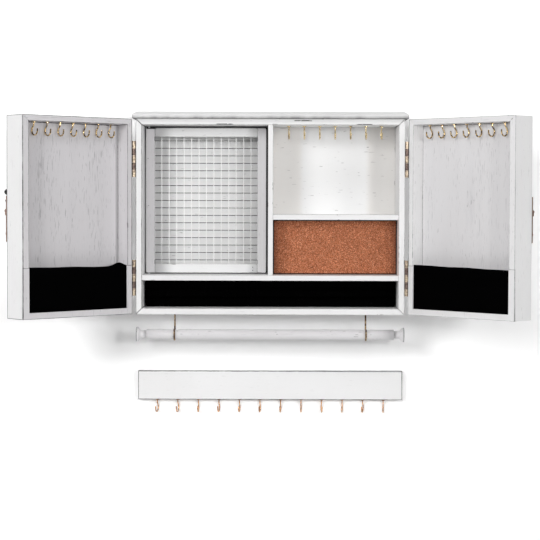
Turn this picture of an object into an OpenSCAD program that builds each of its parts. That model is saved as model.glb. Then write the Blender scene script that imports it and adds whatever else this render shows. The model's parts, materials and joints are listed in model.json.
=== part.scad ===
// Wall-mounted jewelry box with two box doors, a mesh panel, a bracelet rod and a separate hook strip.
// +Z is up, the front faces -Y, and the wall is the plane y = 0.
// The origin lies between the two keyhole hangers on the cabinet's back.

/* [Cabinet] */
// Width over the side boards
case_w = 450; // [380:1:560]
// Height from the bottom board's underside to the top board's upper face
case_h = 328; // [280:1:420]
// Depth from the front edges to the back panel
inner_d = 100; // [90:1:140]
// Thickness of the four case boards
board_t = 10; // [8:0.5:14]
// Thickness of the back panel
back_t = 4; // [3:0.5:6]
// Thickness of the hanging rail behind the back panel
rail_t = 8; // [6.5:0.5:12]
// Height of the hanging rail
rail_h = 45; // [42:1:60]
// Thickness of the cap
cap_t = 11.5; // [9:0.5:16]
// Overhang of the cap at the front and the sides
cap_over = 6; // [3:0.5:10]
// Width of the cap's bevel
cap_bevel_w = 7; // [3:0.5:12]
// Height of the cap's bevel
cap_bevel_h = 4.8; // [2:0.2:8]

/* [Shelves and panels] */
// Thickness of the shelves and the divider
shelf_t = 9; // [6:0.5:12]
// Height of the lower shelf's top above the case's underside
lower_shelf_top = 66; // [50:1:90]
// Height of the upper shelf's top above the case's underside
upper_shelf_top = 168; // [140:1:190]
// How far the shelves and the divider stay behind the front edges
shelf_setback = 1; // [0:0.5:6]
// Depth from the front edges to the cork's face
cork_setback = 45; // [20:1:70]
// Thickness of the cork panel
cork_t = 6; // [3:0.5:12]
// Depth from the front edges to the ring cushion's face
ring_setback = 45; // [20:1:60]
// Thickness of the ring cushion
ring_t = 20; // [14:1:26]
// Number of rolls in the ring cushion
ring_rolls = 3; // [2:1:4]
// Thickness of the board behind the ring cushion
ring_board_t = 5; // [3:0.5:8]

/* [Mesh panel] */
// Depth from the front edges to the mesh panel's face
mesh_setback = 57; // [20:1:70]
// Thickness of the mesh panel's frame
mesh_frame_t = 10; // [8:0.5:14]
// Width of the frame's stiles and rails
mesh_frame_w = 15; // [12:0.5:20]
// Gap at each side of the mesh panel
mesh_side_gap = 3; // [1.8:0.1:4]
// Gap under the mesh panel
mesh_bottom_gap = 2; // [1:0.1:4]
// Gap over the mesh panel
mesh_top_gap = 3.6; // [1:0.1:5]
// Spacing of the mesh wires
mesh_pitch = 12.7; // [10:0.1:20]
// Diameter of the mesh wires
mesh_wire = 1.2; // [0.8:0.1:1.6]
// Depth of the rebate that the mesh lies in
mesh_rebate_d = 3.4; // [3:0.1:5]
// How far the rebate reaches past the frame's opening
mesh_rebate_w = 6; // [4:0.5:8]
// Diameter of the mesh panel's pivot pins
pivot_d = 3; // [2:0.1:4]
// Distance from the frame's edge to the pivot's centre
pivot_in = 5; // [4:0.5:6]
// Distance from the frame's face to the pivot's centre
pivot_back = 4; // [3:0.5:5]

/* [Doors] */
// Depth of a door from its rim to its front
door_d = 43.5; // [36:0.5:55]
// Depth from the rim to the inner panel
door_inner_d = 24.5; // [23.5:0.5:30]
// Thickness of the door boards at the hinge side, the top and the bottom
door_board_t = 10; // [8:0.5:14]
// Thickness of the board at the free edge
free_board_t = 12; // [9:0.5:16]
// Thickness of the inner panel
door_panel_t = 4; // [3:0.5:6]
// Number of planks in a door's front
plank_count = 4; // [2:1:6]
// Gap between planks
plank_gap = 0.8; // [0.3:0.1:2]
// Gap between the case's front edges and the doors' rims
rim_gap = 1.6; // [1.2:0.1:3]
// Gap between the two closed doors
door_gap = 2; // [1:0.5:4]
// Gap between the cap and the doors
door_top_gap = 1; // [0.5:0.1:3]
// Step between the case's underside and the doors' undersides
door_bottom_gap = 0.5; // [0:0.1:3]
// How far the left door stands open
left_open = 135.5; // [0:0.5:180]
// How far the right door stands open
right_open = 134.5; // [0:0.5:180]

/* [Door pockets] */
// Height of the pocket's top above the case's underside
pocket_top = 83; // [60:1:120]
// Thickness of the strip frame that holds the pocket's fabric
strip_frame_t = 2.5; // [1.5:0.1:4]
// How far the strip frame covers the fabric
strip_lip = 0.5; // [0.3:0.1:6]
// Thickness of the pocket's fabric front
fabric_t = 1.6; // [1:0.1:3]
// Height of the waves along the fabric's top edge
fabric_wave = 0.5; // [0:0.1:1.5]
// Height of the fabric's bulge beside the left door's hinges
fabric_bulge = 8; // [0:0.5:12]

/* [Butt hinges] */
// Length of a hinge
hinge_len = 60; // [45:1:80]
// Distance from a door's ends to the hinges' middles, before they are lowered
hinge_in = 64; // [50:1:80]
// How far both hinges sit below those places
hinge_drop = 3; // [0:0.5:8]
// Outer diameter of the knuckles
knuckle_d = 6; // [5:0.2:8]
// Diameter of the hinge pins
hinge_pin_d = 2.4; // [1.8:0.1:3]
// Radial clearance between pins and their bores
run_gap = 0.05; // [0.02:0.01:0.1]
// Width of a leaf from the pin's centre to its edge
leaf_w = 18; // [14:0.5:24]
// Thickness of a leaf
leaf_t = 1.2; // [0.8:0.1:2]
// Height of the gap between two knuckles
knuckle_gap = 0.3; // [0.2:0.1:0.8]

/* [Cup hooks] */
// Drop of a cup hook below its board
hook_drop = 23; // [19:0.5:28]
// Diameter of the hooks' wire
hook_wire = 2.3; // [1.6:0.1:3]
// Radius of the hooks' bend, at the wire's centre
hook_bend = 7.3; // [5:0.1:8]
// Diameter of the collar against the board
hook_collar_d = 6; // [4:0.5:8]
// Thickness of the collar
hook_collar_t = 1.4; // [0.8:0.1:2]
// Depth of the hooks' screw ends in the wood
hook_screw = 7; // [4:0.5:7.5]
// Number of hooks in the compartment and in each door
row_hooks = 7; // [3:1:8]
// Spacing of those hooks
hook_pitch = 26.2; // [20:0.1:27]
// Depth of the compartment's hooks behind the front edges
hook_setback = 55; // [30:1:70]

/* [Bracelet rod] */
// Length of the rod
rod_len = 456; // [420:1:520]
// Diameter of the rod's shaft
rod_d = 17.5; // [14:0.5:24]
// Diameter of the flared ends
rod_end_d = 24.4; // [20:0.2:32]
// Thickness of the flared ends' rims
rod_rim_t = 3; // [2:0.5:6]
// Length of the flare
rod_flare = 5.5; // [3:0.5:9]
// Diameter of the necks beside the flared ends
rod_neck_d = 13; // [9:0.5:16]
// Length of the necks
rod_neck_len = 9; // [5:0.5:14]
// Depth of the coves that sit in the hooks
cove_depth = 0.8; // [0.4:0.1:2]
// Width of the coves
cove_w = 16; // [10:1:24]
// Distance from the case's underside to the rod's centre
rod_drop = 37; // [32:1:50]
// Distance of the rod's axis from the wall
rod_out = 62; // [40:1:80]
// Spacing of the two rod hooks
rod_hook_pitch = 326; // [260:1:360]
// Diameter of the rod hooks' wire
rod_wire = 2.8; // [2:0.1:4]
// Clearance between the coves and the hooks
rod_clear = 0.15; // [0.1:0.05:0.5]

/* [Hook strip] */
// Width of the strip
strip_w = 458; // [420:1:520]
// Height of the strip
strip_h = 50; // [44:1:70]
// Thickness of the strip
strip_t = 15; // [14:0.5:22]
// Distance from the case's underside to the strip's top
strip_below = 104; // [70:1:160]
// Number of hooks on the strip
strip_hooks_n = 12; // [4:1:12]
// Spacing of the strip's hooks
strip_pitch = 35.7; // [30:0.1:37]
// Distance from the strip's ends to the middles of its hangers
strip_hanger_in = 79; // [30:1:130]

/* [Wall hangers] */
// Distance from the case's sides to the middles of its hangers
hanger_in = 35; // [25:1:80]
// Width of a hanger plate
hanger_w = 18; // [16:0.5:24]
// Height of a hanger plate
hanger_h = 40; // [38:0.5:41]
// Thickness of a hanger plate
hanger_t = 1.6; // [1:0.1:2]
// Radius of the keyhole's entry
key_r = 4.5; // [4:0.1:5]
// Width of the keyhole's slot
key_slot = 4.4; // [4:0.1:5]
// Height of the slot's end above the entry's centre
key_rise = 9; // [7:0.5:10]

/* [Pulls and latch] */
// Height of a pull plate
plate_h = 74; // [60:1:90]
// Width of a pull plate
plate_w = 22; // [16:0.5:28]
// Thickness of a pull plate
plate_t = 2.5; // [1.5:0.1:3]
// Height of the pull plates' middle above the case's underside
plate_z = 161; // [140:1:180]
// Distance from the door's free edge to the pull's post
post_in = 5; // [4:0.5:8]
// Height of the post above the plate's middle
post_up = 13; // [8:0.5:20]
// Length of the drop pull below its pin
drop_len = 40; // [30:1:48]
// Diameter of the drop's bulb
drop_d = 5.6; // [4:0.1:6]
// Diameter of the drop's pin
drop_pin_d = 1.8; // [1.4:0.1:2.2]
// Height of the latch above the case's underside
latch_z = 204; // [202:1:240]
// Distance from the left door's free edge to the latch's post
latch_in = 5.2; // [4.6:0.1:8]
// Distance from the right door's free edge to the catch stud
stud_in = 7.5; // [6:0.5:12]
// Diameter of the domed head on the latch's post
dome_d = 9.4; // [8:0.2:12]

/* [Hidden] */
$fn = 48;

paint = [0.93, 0.93, 0.92];
brass = [0.80, 0.62, 0.35];
antique = [0.60, 0.50, 0.43];
steel = [0.70, 0.71, 0.73];
black = [0.03, 0.03, 0.03];
cork = [0.75, 0.50, 0.38];

// Height of the case's top and underside, with the hangers' line at zero
case_top = board_t + rail_h / 2;
case_bot = case_top - case_h;
// Depth of the case's front edges, the back panel's face and the rail's back
front_y = -(inner_d + back_t + rail_t);
back_face_y = front_y + inner_d;
// Half widths over and between the side boards
half_w = case_w / 2;
half_in = half_w - board_t;
lower_top = case_bot + lower_shelf_top;
lower_under = lower_top - shelf_t;
upper_top = case_bot + upper_shelf_top;
ceiling = case_top - board_t;
floor_top = case_bot + board_t;
shelf_y = front_y + shelf_setback;
soft_clear = 0.1;
hanger_pitch = case_w - 2 * hanger_in;
strip_hanger_pitch = strip_w - 2 * strip_hanger_in;

// Mesh panel: outer limits and pivot
mesh_x0 = -half_in + mesh_side_gap;
mesh_x1 = -shelf_t / 2 - mesh_side_gap;
mesh_z0 = lower_top + mesh_bottom_gap;
mesh_z1 = ceiling - mesh_top_gap;
mesh_y = front_y + mesh_setback;
mesh_back_y = mesh_y + mesh_frame_t;
mesh_corner = 3;
pivot_x = mesh_x0 + pivot_in;
pivot_y = mesh_y + pivot_back;
pivot_grip = 8;
pivot_reach = 6;
wire_y = mesh_back_y - mesh_rebate_d + mesh_wire / 2 + 0.05;
cross_y = wire_y + mesh_wire + 0.02;
mesh_open_w = mesh_x1 - mesh_x0 - 2 * mesh_frame_w;
mesh_open_h = mesh_z1 - mesh_z0 - 2 * mesh_frame_w;
uprights = floor(mesh_open_w / mesh_pitch);
crosses = floor(mesh_open_h / mesh_pitch);
wire_into = mesh_rebate_w - 1;

// Doors: the hinge axis stands one knuckle radius outside the case
knuckle_r = knuckle_d / 2;
axis_x = half_w + knuckle_r;
axis_y = front_y - rim_gap / 2;
door_z0 = case_bot + door_bottom_gap;
door_z1 = case_top - door_top_gap;
// Along a door, measured from the hinge axis
door_l0 = knuckle_r;
door_l1 = axis_x - door_gap / 2;
door_in0 = door_l0 + door_board_t;
door_in1 = door_l1 - free_board_t;
door_floor = door_z0 + door_board_t;
door_ceiling = door_z1 - door_board_t;
door_face = rim_gap / 2 + door_d;
pocket_z = case_bot + pocket_top;
plank_d = door_d - door_inner_d - door_panel_t;
plank_w = (door_in1 - door_in0 - (plank_count - 1) * plank_gap) / plank_count;
plank_bevel = 1.5;

hinge_zs = [door_z0 + hinge_in - hinge_drop, door_z1 - hinge_in - hinge_drop];
knuckle_n = 5;
knuckle_h = hinge_len / knuckle_n;
leaf_clear = 0.3;
leaf_screw_l = 11;
leaf_screw_step = hinge_len / 3;
screw_head_r = 3;
screw_r = 1.5;
screw_len = 7.5;
screw_clear = 0.08;

hook_r = hook_wire / 2;
hook_fore = 2;
hook_start = 140;
hook_end = 354;
hook_neck = 3;
hook_tip_len = 3;
wire_swell = 0.04;
wire_overlap = 0.2;
// Back of a door hook clears the panel by this much
hook_back_clear = 1;
door_hook_d = door_inner_d - (hook_bend + hook_r - hook_fore) - hook_back_clear;
hook_y = front_y + hook_setback;
bay_mid = (shelf_t / 2 + half_in) / 2;
door_mid = (door_in0 + door_in1) / 2;
// How far each strip hook was left turned when it was screwed in, in degrees
strip_turns = [13, 13, 3, 10, 7, 7, 5, 1, -4, 4, 13, 5];
bay_turns = [3, 2, 1, 0, 1, 2, 3, 2];

rod_z = case_bot - rod_drop;
rod_y = -rod_out;
cove_r = rod_d / 2 - cove_depth;
cove_arc = (cove_w * cove_w / 4 + cove_depth * cove_depth) / (2 * cove_depth);
rod_hook_r = rod_wire / 2;
rod_bend = cove_r + rod_clear + rod_hook_r + wire_swell;
rod_hook_screw = 7;

strip_top = case_bot - strip_below;
strip_bot = strip_top - strip_h;
strip_key_z = strip_top - strip_h / 2;

key_top = key_rise + key_slot / 2;
hanger_rise = 1;
hanger_z0 = hanger_rise - hanger_h / 2;
hanger_screw_in = 4;
pocket_d = 5;

plate_mid = case_bot + plate_z;
plate_notch = 7;
post_l = door_l1 - post_in;
post_z = plate_mid + post_up;
drop_clear = 0.3;
drop_axis = plate_t + drop_clear + drop_d / 2;
post_stem_r = 1.5;
post_ball_r = 2.2;
ear_t = 1.2;
ear_r = 2.5;
ear_gap = post_ball_r + drop_clear;
yoke_top = 2 * (post_ball_r + drop_clear);

latch_l = door_l1 - latch_in;
latch_pos_z = case_bot + latch_z;
latch_reach = latch_in + door_gap + stud_in;
latch_base_r = 4;
latch_base_t = 1.2;
latch_stem_r = 1.6;
latch_eye_r = 3.4;
latch_level = plate_t + 0.9;
latch_arm_t = 2;
latch_arm_w = 3;
latch_gap = 0.2;
stud_r = 1.5;
stud_len = 7;
notch_r = stud_r + 0.3;

// Extrudes an outline drawn in X and Z between two depths
module along_y(y0, y1) {
    translate([0, y1, 0])
        rotate([90, 0, 0])
            linear_extrude(y1 - y0)
                children();
}

// Extrudes an outline drawn in Y and Z between two widths
module along_x(x0, x1) {
    translate([x0, 0, 0])
        rotate([90, 0, 90])
            linear_extrude(x1 - x0)
                children();
}

module block(x0, x1, y0, y1, z0, z1) {
    translate([x0, y0, z0])
        cube([x1 - x0, y1 - y0, z1 - z0]);
}

// Places children on both sides of the YZ plane
module both_sides(x) {
    for (side = [-1, 1])
        translate([side * x, 0, 0])
            children();
}

// A straight piece of round wire between two points of the XY plane
module wire_line(a, b, r) {
    step = b - a;
    translate([a.x, a.y, 0])
        rotate([0, 0, atan2(step.y, step.x)])
            rotate([0, 90, 0])
                cylinder(h = norm(step), r = r);
}

// A bent piece of round wire in the XY plane
module wire_arc(centre, bend, from, sweep, r) {
    translate([centre.x, centre.y, 0])
        rotate([0, 0, from])
            rotate_extrude(angle = sweep)
                translate([bend, 0])
                    circle(r = r);
}

// Rounds the end b of a wire that comes from a
module wire_end(a, b, r) {
    step = b - a;
    translate([b.x, b.y, 0])
        rotate([0, 0, atan2(step.y, step.x)])
            rotate([0, 90, 0])
                sphere(r = r + wire_swell);
}

// The point that lies a little past b for a wire that comes from a
function past(a, b) = b + wire_overlap * (b - a) / norm(b - a);

// A cup hook screwed up into a board: its collar touches z = 0 and its tip points to -Y.
// Its bends are a hair thicker than its straight parts, which end inside them.
module cup_hook() {
    centre = [hook_fore, -(hook_drop - hook_r - hook_bend)];
    lean = 180 - hook_start;
    bend_in = centre + hook_bend * [cos(hook_start), sin(hook_start)];
    neck_x = hook_neck * (cos(lean) - 1);
    slant = (neck_x - bend_in.x) / sin(lean);
    neck_out = [neck_x, bend_in.y + slant * cos(lean)];
    neck_in = [0, neck_out.y + hook_neck * sin(lean)];
    tip = centre + hook_bend * [cos(hook_end), sin(hook_end)];
    tip_end = tip + hook_tip_len * [-sin(hook_end), cos(hook_end)];
    rotate([0, 0, -90])
        rotate([90, 0, 0]) {
            wire_line([0, hook_screw], past([0, hook_screw], neck_in), hook_r);
            translate([0, -hook_collar_t, 0])
                rotate([-90, 0, 0])
                    cylinder(h = hook_collar_t, d = hook_collar_d);
            wire_arc([-hook_neck, neck_in.y], hook_neck, -lean, lean, hook_r + wire_swell);
            wire_line(past(bend_in, neck_out), past(neck_out, bend_in), hook_r);
            wire_arc(centre, hook_bend, hook_start, hook_end - hook_start, hook_r + wire_swell);
            wire_line(past(tip_end, tip), tip_end, hook_r);
            wire_end(tip, tip_end, hook_r);
        }
}

// A countersunk screw: its head's face is at z = 0 and it points to -Z
module screw(length) {
    head_h = screw_head_r - screw_r;
    translate([0, 0, -head_h])
        cylinder(h = head_h, r1 = screw_r, r2 = screw_head_r);
    translate([0, 0, -length])
        cylinder(h = length - head_h, r = screw_r);
}

module screw_sink(depth) {
    head_h = screw_head_r - screw_r;
    translate([0, 0, -head_h])
        cylinder(h = head_h + 0.01, r1 = screw_r + screw_clear, r2 = screw_head_r + screw_clear);
    translate([0, 0, -depth - 1])
        cylinder(h = depth + 1, r = screw_r + screw_clear);
}

// Cap and case boards

module top_cap() {
    side = half_w + cap_over;
    front = front_y - cap_over;
    low = case_top + cap_t - cap_bevel_h;
    high = case_top + cap_t;
    color(paint)
        intersection() {
            along_y(front, 0)
                polygon([[-side, case_top], [side, case_top], [side, low], [side - cap_bevel_w, high],
                    [-side + cap_bevel_w, high], [-side, low]]);
            along_x(-side, side)
                polygon([[front, case_top], [0, case_top], [0, high], [front + cap_bevel_w, high],
                    [front, low]]);
        }
}

module top_board() {
    color(paint)
        difference() {
            along_y(front_y, 0)
                polygon([[-half_w, case_top], [half_w, case_top], [half_in, ceiling], [-half_in, ceiling]]);
            translate([pivot_x, pivot_y, ceiling - 1])
                cylinder(h = pivot_reach + 2, r = pivot_d / 2 + run_gap);
        }
}

module bottom_board() {
    color(paint)
        along_y(front_y, 0)
            polygon([[-half_w, case_bot], [half_w, case_bot], [half_in, floor_top], [-half_in, floor_top]]);
}

module side_board() {
    along_y(front_y, 0)
        polygon([[half_w, case_bot], [half_w, case_top], [half_in, ceiling], [half_in, floor_top]]);
}

module left_side() {
    color(paint)
        mirror([1, 0, 0])
            side_board();
}

module right_side() {
    color(paint)
        side_board();
}

module back_panel() {
    color(paint)
        block(-half_in, half_in, back_face_y, back_face_y + back_t, floor_top, ceiling);
}

// The plate's outline, its origin at the keyhole's entry
module hanger_outline() {
    translate([-hanger_w / 2, hanger_z0])
        square([hanger_w, hanger_h]);
}

module key_pocket() {
    translate([-key_r - 1.5, -key_r - 1.5])
        square([2 * key_r + 3, key_top + key_r + 4]);
}

// Clears a hanger plate and the space behind its keyhole out of a board's back
module hanger_recess() {
    along_y(-hanger_t, 1)
        hanger_outline();
    along_y(-hanger_t - pocket_d, 1)
        key_pocket();
}

module hanging_rail() {
    color(paint)
        difference() {
            block(-half_in, half_in, -rail_t, 0, -rail_h / 2, rail_h / 2);
            both_sides(hanger_pitch / 2)
                hanger_recess();
        }
}

module hanger_plate() {
    difference() {
        along_y(-hanger_t, 0)
            hanger_outline();
        along_y(-hanger_t - 1, 1)
            circle(r = key_r);
        along_y(-hanger_t - 1, 1)
            translate([-key_slot / 2, 0])
                square([key_slot, key_rise]);
        along_y(-hanger_t - 1, 1)
            translate([0, key_rise])
                circle(d = key_slot);
        hanger_screw_places()
            rotate([-90, 0, 0])
                screw_sink(hanger_t);
    }
}

module hanger_screw_places() {
    for (z = [hanger_z0 + hanger_screw_in, hanger_z0 + hanger_h - hanger_screw_in])
        translate([0, 0, z])
            children();
}

module hanger_places() {
    both_sides(hanger_pitch / 2)
        children();
    translate([0, 0, strip_key_z])
        both_sides(strip_hanger_pitch / 2)
            children();
}

module hanger_plates() {
    color(steel)
        hanger_places()
            hanger_plate();
}

module hanger_screws() {
    color(steel)
        hanger_places()
            hanger_screw_places()
                rotate([-90, 0, 0])
                    screw(rail_t - 2);
}

// Inside the case

module divider() {
    color(paint)
        block(-shelf_t / 2, shelf_t / 2, shelf_y, back_face_y, lower_top, ceiling);
}

module upper_shelf() {
    color(paint)
        block(shelf_t / 2, half_in, shelf_y, back_face_y, upper_top - shelf_t, upper_top);
}

module lower_shelf() {
    color(paint)
        difference() {
            block(-half_in, half_in, shelf_y, back_face_y, lower_under, lower_top);
            translate([pivot_x, pivot_y, lower_top - pivot_reach - 1])
                cylinder(h = pivot_reach + 2, r = pivot_d / 2 + run_gap);
        }
}

module cork_panel() {
    y = front_y + cork_setback;
    color(cork)
        block(shelf_t / 2, half_in, y, y + cork_t, lower_top, upper_top - shelf_t);
}

// Rolls lie side by side across the bottom row, with grooves between them for the rings
module ring_cushion() {
    y = front_y + ring_setback;
    z = floor_top + soft_clear;
    height = lower_under - floor_top - 2 * soft_clear;
    roll = height / ring_rolls;
    color(black)
        along_x(-half_in + soft_clear, half_in - soft_clear)
            union() {
                translate([y + roll / 2, z])
                    square([ring_t - roll / 2, height]);
                for (i = [0 : ring_rolls - 1])
                    translate([y + roll / 2, z + roll * (i + 0.5)])
                        circle(d = roll);
            }
}

module ring_board() {
    y = front_y + ring_setback + ring_t;
    color(paint)
        block(-half_in, half_in, y, y + ring_board_t, floor_top, lower_under);
}

module necklace_hooks() {
    color(brass)
        for (i = [0 : row_hooks - 1])
            translate([bay_mid + (i - (row_hooks - 1) / 2) * hook_pitch, hook_y, ceiling])
                rotate([0, 0, bay_turns[i]])
                    cup_hook();
}

// Bracelet rod and its hooks

module rod_hook() {
    back = [-rod_bend, 0];
    fore = [rod_bend, 0];
    tip = [rod_bend, rod_d / 2];
    board = [-rod_bend, case_bot - rod_z];
    screw_end = board + [0, rod_hook_screw];
    translate([0, rod_y, rod_z])
        rotate([0, 0, -90])
            rotate([90, 0, 0]) {
                wire_line(screw_end, past(screw_end, back), rod_hook_r);
                translate([board.x, board.y - hook_collar_t, 0])
                    rotate([-90, 0, 0])
                        cylinder(h = hook_collar_t, d = hook_collar_d + 1);
                wire_arc([0, 0], rod_bend, 180, 180, rod_hook_r + wire_swell);
                wire_line(past(tip, fore), tip, rod_hook_r);
                wire_end(fore, tip, rod_hook_r);
            }
}

module rod_hooks() {
    color(brass)
        both_sides(rod_hook_pitch / 2)
            rod_hook();
}

// Half of the rod's outline: radius along X, length along Y
module rod_outline() {
    rim = rod_len / 2 - rod_rim_t;
    neck_end = rim - rod_flare;
    shaft = neck_end - rod_neck_len;
    difference() {
        union() {
            square([rod_d / 2, shaft]);
            translate([0, shaft])
                square([rod_neck_d / 2, rod_neck_len]);
            polygon([[0, neck_end], [rod_neck_d / 2, neck_end], [rod_end_d / 2, rim], [0, rim]]);
            translate([0, rim])
                square([rod_end_d / 2, rod_rim_t]);
        }
        translate([cove_r + cove_arc, rod_hook_pitch / 2])
            circle(r = cove_arc, $fn = 160);
    }
}

module bracelet_rod() {
    color(paint)
        translate([0, rod_y, rod_z])
            rotate([0, 90, 0])
                rotate_extrude()
                    union() {
                        rod_outline();
                        mirror([0, 1])
                            rod_outline();
                    }
}

// Hook strip

module hook_strip() {
    color(paint)
        difference() {
            block(-strip_w / 2, strip_w / 2, -strip_t, 0, strip_bot, strip_top);
            translate([0, 0, strip_key_z])
                both_sides(strip_hanger_pitch / 2)
                    hanger_recess();
        }
}

module strip_hooks() {
    color(brass)
        for (i = [0 : strip_hooks_n - 1])
            translate([(i - (strip_hooks_n - 1) / 2) * strip_pitch, -strip_t / 2, strip_bot])
                rotate([0, 0, -strip_turns[i]])
                    cup_hook();
}

// Butt hinges. Knuckles 0, 2 and 4 belong to the case, 1 and 3 to the door.
// A leaf is drawn flat against the plane x = knuckle radius, and reaches to +Y from the pin.

module leaf(owned) {
    difference() {
        union() {
            block(knuckle_r - leaf_t, knuckle_r, knuckle_r + leaf_clear, leaf_w, 0, hinge_len);
            for (k = owned) {
                z0 = k * knuckle_h + (k == 0 ? 0 : knuckle_gap / 2);
                z1 = (k + 1) * knuckle_h - (k == knuckle_n - 1 ? 0 : knuckle_gap / 2);
                translate([0, 0, z0])
                    cylinder(h = z1 - z0, r = knuckle_r);
                block(knuckle_r - leaf_t, knuckle_r, 0, knuckle_r + leaf_clear + 0.5, z0, z1);
            }
        }
        translate([0, 0, -1])
            cylinder(h = hinge_len + 2, r = hinge_pin_d / 2 + run_gap);
        leaf_screws()
            screw_sink(leaf_t);
    }
}

// Screw places of a leaf, heads facing away from the wood
module leaf_screws() {
    for (i = [0 : 2])
        translate([knuckle_r - leaf_t, leaf_screw_l, leaf_screw_step * (i + 0.5)])
            rotate([0, -90, 0])
                children();
}

// The case's leaves lie on its sides, drawn for the left side
module case_leaf_places() {
    for (side = [0, 1])
        mirror([side, 0, 0])
            for (z = hinge_zs)
                translate([-axis_x, axis_y, z - hinge_len / 2])
                    children();
}

module case_hinge_leaves() {
    color(brass)
        case_leaf_places()
            leaf([0, 2, 4]);
}

module case_hinge_screws() {
    color(brass)
        case_leaf_places()
            leaf_screws()
                screw(screw_len);
}

module hinge_pins() {
    color(brass)
        case_leaf_places()
            cylinder(h = hinge_len, r = hinge_pin_d / 2);
}

// Mesh panel

module mesh_corner_outline() {
    w = mesh_x1 - mesh_x0;
    h = mesh_z1 - mesh_z0;
    translate([mesh_x0, mesh_z0])
        union() {
            translate([mesh_corner, 0])
                square([w - 2 * mesh_corner, h]);
            translate([0, mesh_corner])
                square([w, h - 2 * mesh_corner]);
            for (x = [mesh_corner, w - mesh_corner])
                for (z = [mesh_corner, h - mesh_corner])
                    translate([x, z])
                        circle(r = mesh_corner);
        }
}

// Opening of the frame, widened by a margin
module mesh_opening(margin) {
    translate([mesh_x0 + mesh_frame_w - margin, mesh_z0 + mesh_frame_w - margin])
        square([mesh_open_w + 2 * margin, mesh_open_h + 2 * margin]);
}

module mesh_frame_solid() {
    difference() {
        along_y(mesh_y, mesh_back_y)
            mesh_corner_outline();
        along_y(mesh_y - 1, mesh_back_y + 1)
            mesh_opening(0);
        along_y(mesh_back_y - mesh_rebate_d, mesh_back_y + 1)
            mesh_opening(mesh_rebate_w);
    }
}

module mesh_stiles() {
    color(paint)
        intersection() {
            mesh_frame_solid();
            union() {
                block(mesh_x0 - 1, mesh_x0 + mesh_frame_w, mesh_y - 1, mesh_back_y + 1, mesh_z0, mesh_z1);
                block(mesh_x1 - mesh_frame_w, mesh_x1 + 1, mesh_y - 1, mesh_back_y + 1, mesh_z0, mesh_z1);
            }
        }
}

module mesh_rails() {
    color(paint)
        intersection() {
            mesh_frame_solid();
            block(mesh_x0 + mesh_frame_w, mesh_x1 - mesh_frame_w, mesh_y - 1, mesh_back_y + 1,
                mesh_z0 - 1, mesh_z1 + 1);
        }
}

module mesh_upright_wires() {
    mid = (mesh_x0 + mesh_x1) / 2;
    color(paint)
        for (i = [0 : uprights - 1])
            translate([mid + (i - (uprights - 1) / 2) * mesh_pitch, wire_y,
                mesh_z0 + mesh_frame_w - wire_into])
                cylinder(h = mesh_open_h + 2 * wire_into, d = mesh_wire, $fn = 16);
}

module mesh_cross_wires() {
    mid = (mesh_z0 + mesh_z1) / 2;
    color(steel)
        for (i = [0 : crosses - 1])
            translate([mesh_x0 + mesh_frame_w - wire_into, cross_y,
                mid + (i - (crosses - 1) / 2) * mesh_pitch])
                rotate([0, 90, 0])
                    cylinder(h = mesh_open_w + 2 * wire_into, d = mesh_wire, $fn = 16);
}

module mesh_pivot_pins() {
    color(steel) {
        translate([pivot_x, pivot_y, lower_top - pivot_reach])
            cylinder(h = pivot_reach + mesh_bottom_gap + pivot_grip, d = pivot_d);
        translate([pivot_x, pivot_y, mesh_z1 - pivot_grip])
            cylinder(h = pivot_grip + mesh_top_gap + pivot_reach, d = pivot_d);
    }
}

// Doors. A door is drawn closed, from its hinge axis: X runs to the free edge, and the rim
// faces +Y. Depth is measured from the rim to the front.

module at_left() {
    translate([-axis_x, axis_y, 0])
        rotate([0, 0, -left_open])
            children();
}

module at_right() {
    translate([axis_x, axis_y, 0])
        rotate([0, 0, right_open])
            mirror([1, 0, 0])
                children();
}

module door_layer(d0, d1) {
    along_y(-rim_gap / 2 - d1, -rim_gap / 2 - d0)
        children();
}

// Makes room for the strip frame at the foot of a door
module strip_rebate() {
    door_layer(-1, strip_frame_t)
        translate([door_l0 - 1, door_z0 - 1])
            square([door_l1 - door_l0 + 2, pocket_z - door_z0 + 1]);
}

module door_top() {
    door_layer(0, door_d)
        polygon([[door_l0, door_z1], [door_l1, door_z1], [door_in1, door_ceiling], [door_in0, door_ceiling]]);
}

module door_bottom() {
    difference() {
        door_layer(0, door_d)
            polygon([[door_l0, door_z0], [door_l1, door_z0], [door_in1, door_floor], [door_in0, door_floor]]);
        strip_rebate();
    }
}

module door_hinge_board() {
    difference() {
        door_layer(0, door_d)
            polygon([[door_l0, door_z0], [door_in0, door_floor], [door_in0, door_ceiling], [door_l0, door_z1]]);
        strip_rebate();
    }
}

module door_free_board() {
    difference() {
        door_layer(0, door_d)
            polygon([[door_l1, door_z0], [door_in1, door_floor], [door_in1, door_ceiling], [door_l1, door_z1]]);
        strip_rebate();
    }
}

module door_panel() {
    door_layer(door_inner_d, door_inner_d + door_panel_t)
        translate([door_in0, door_floor])
            square([door_in1 - door_in0, door_ceiling - door_floor]);
}

// Planks with bevelled edges, seen from above: the bevels face the front
module door_planks() {
    y0 = -door_face;
    y1 = y0 + plank_d;
    for (i = [0 : plank_count - 1])
        translate([door_in0 + i * (plank_w + plank_gap), 0, door_floor])
            linear_extrude(door_ceiling - door_floor)
                polygon([[0, y1], [0, y0 + plank_bevel], [plank_bevel, y0], [plank_w - plank_bevel, y0],
                    [plank_w, y0 + plank_bevel], [plank_w, y1]]);
}

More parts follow.
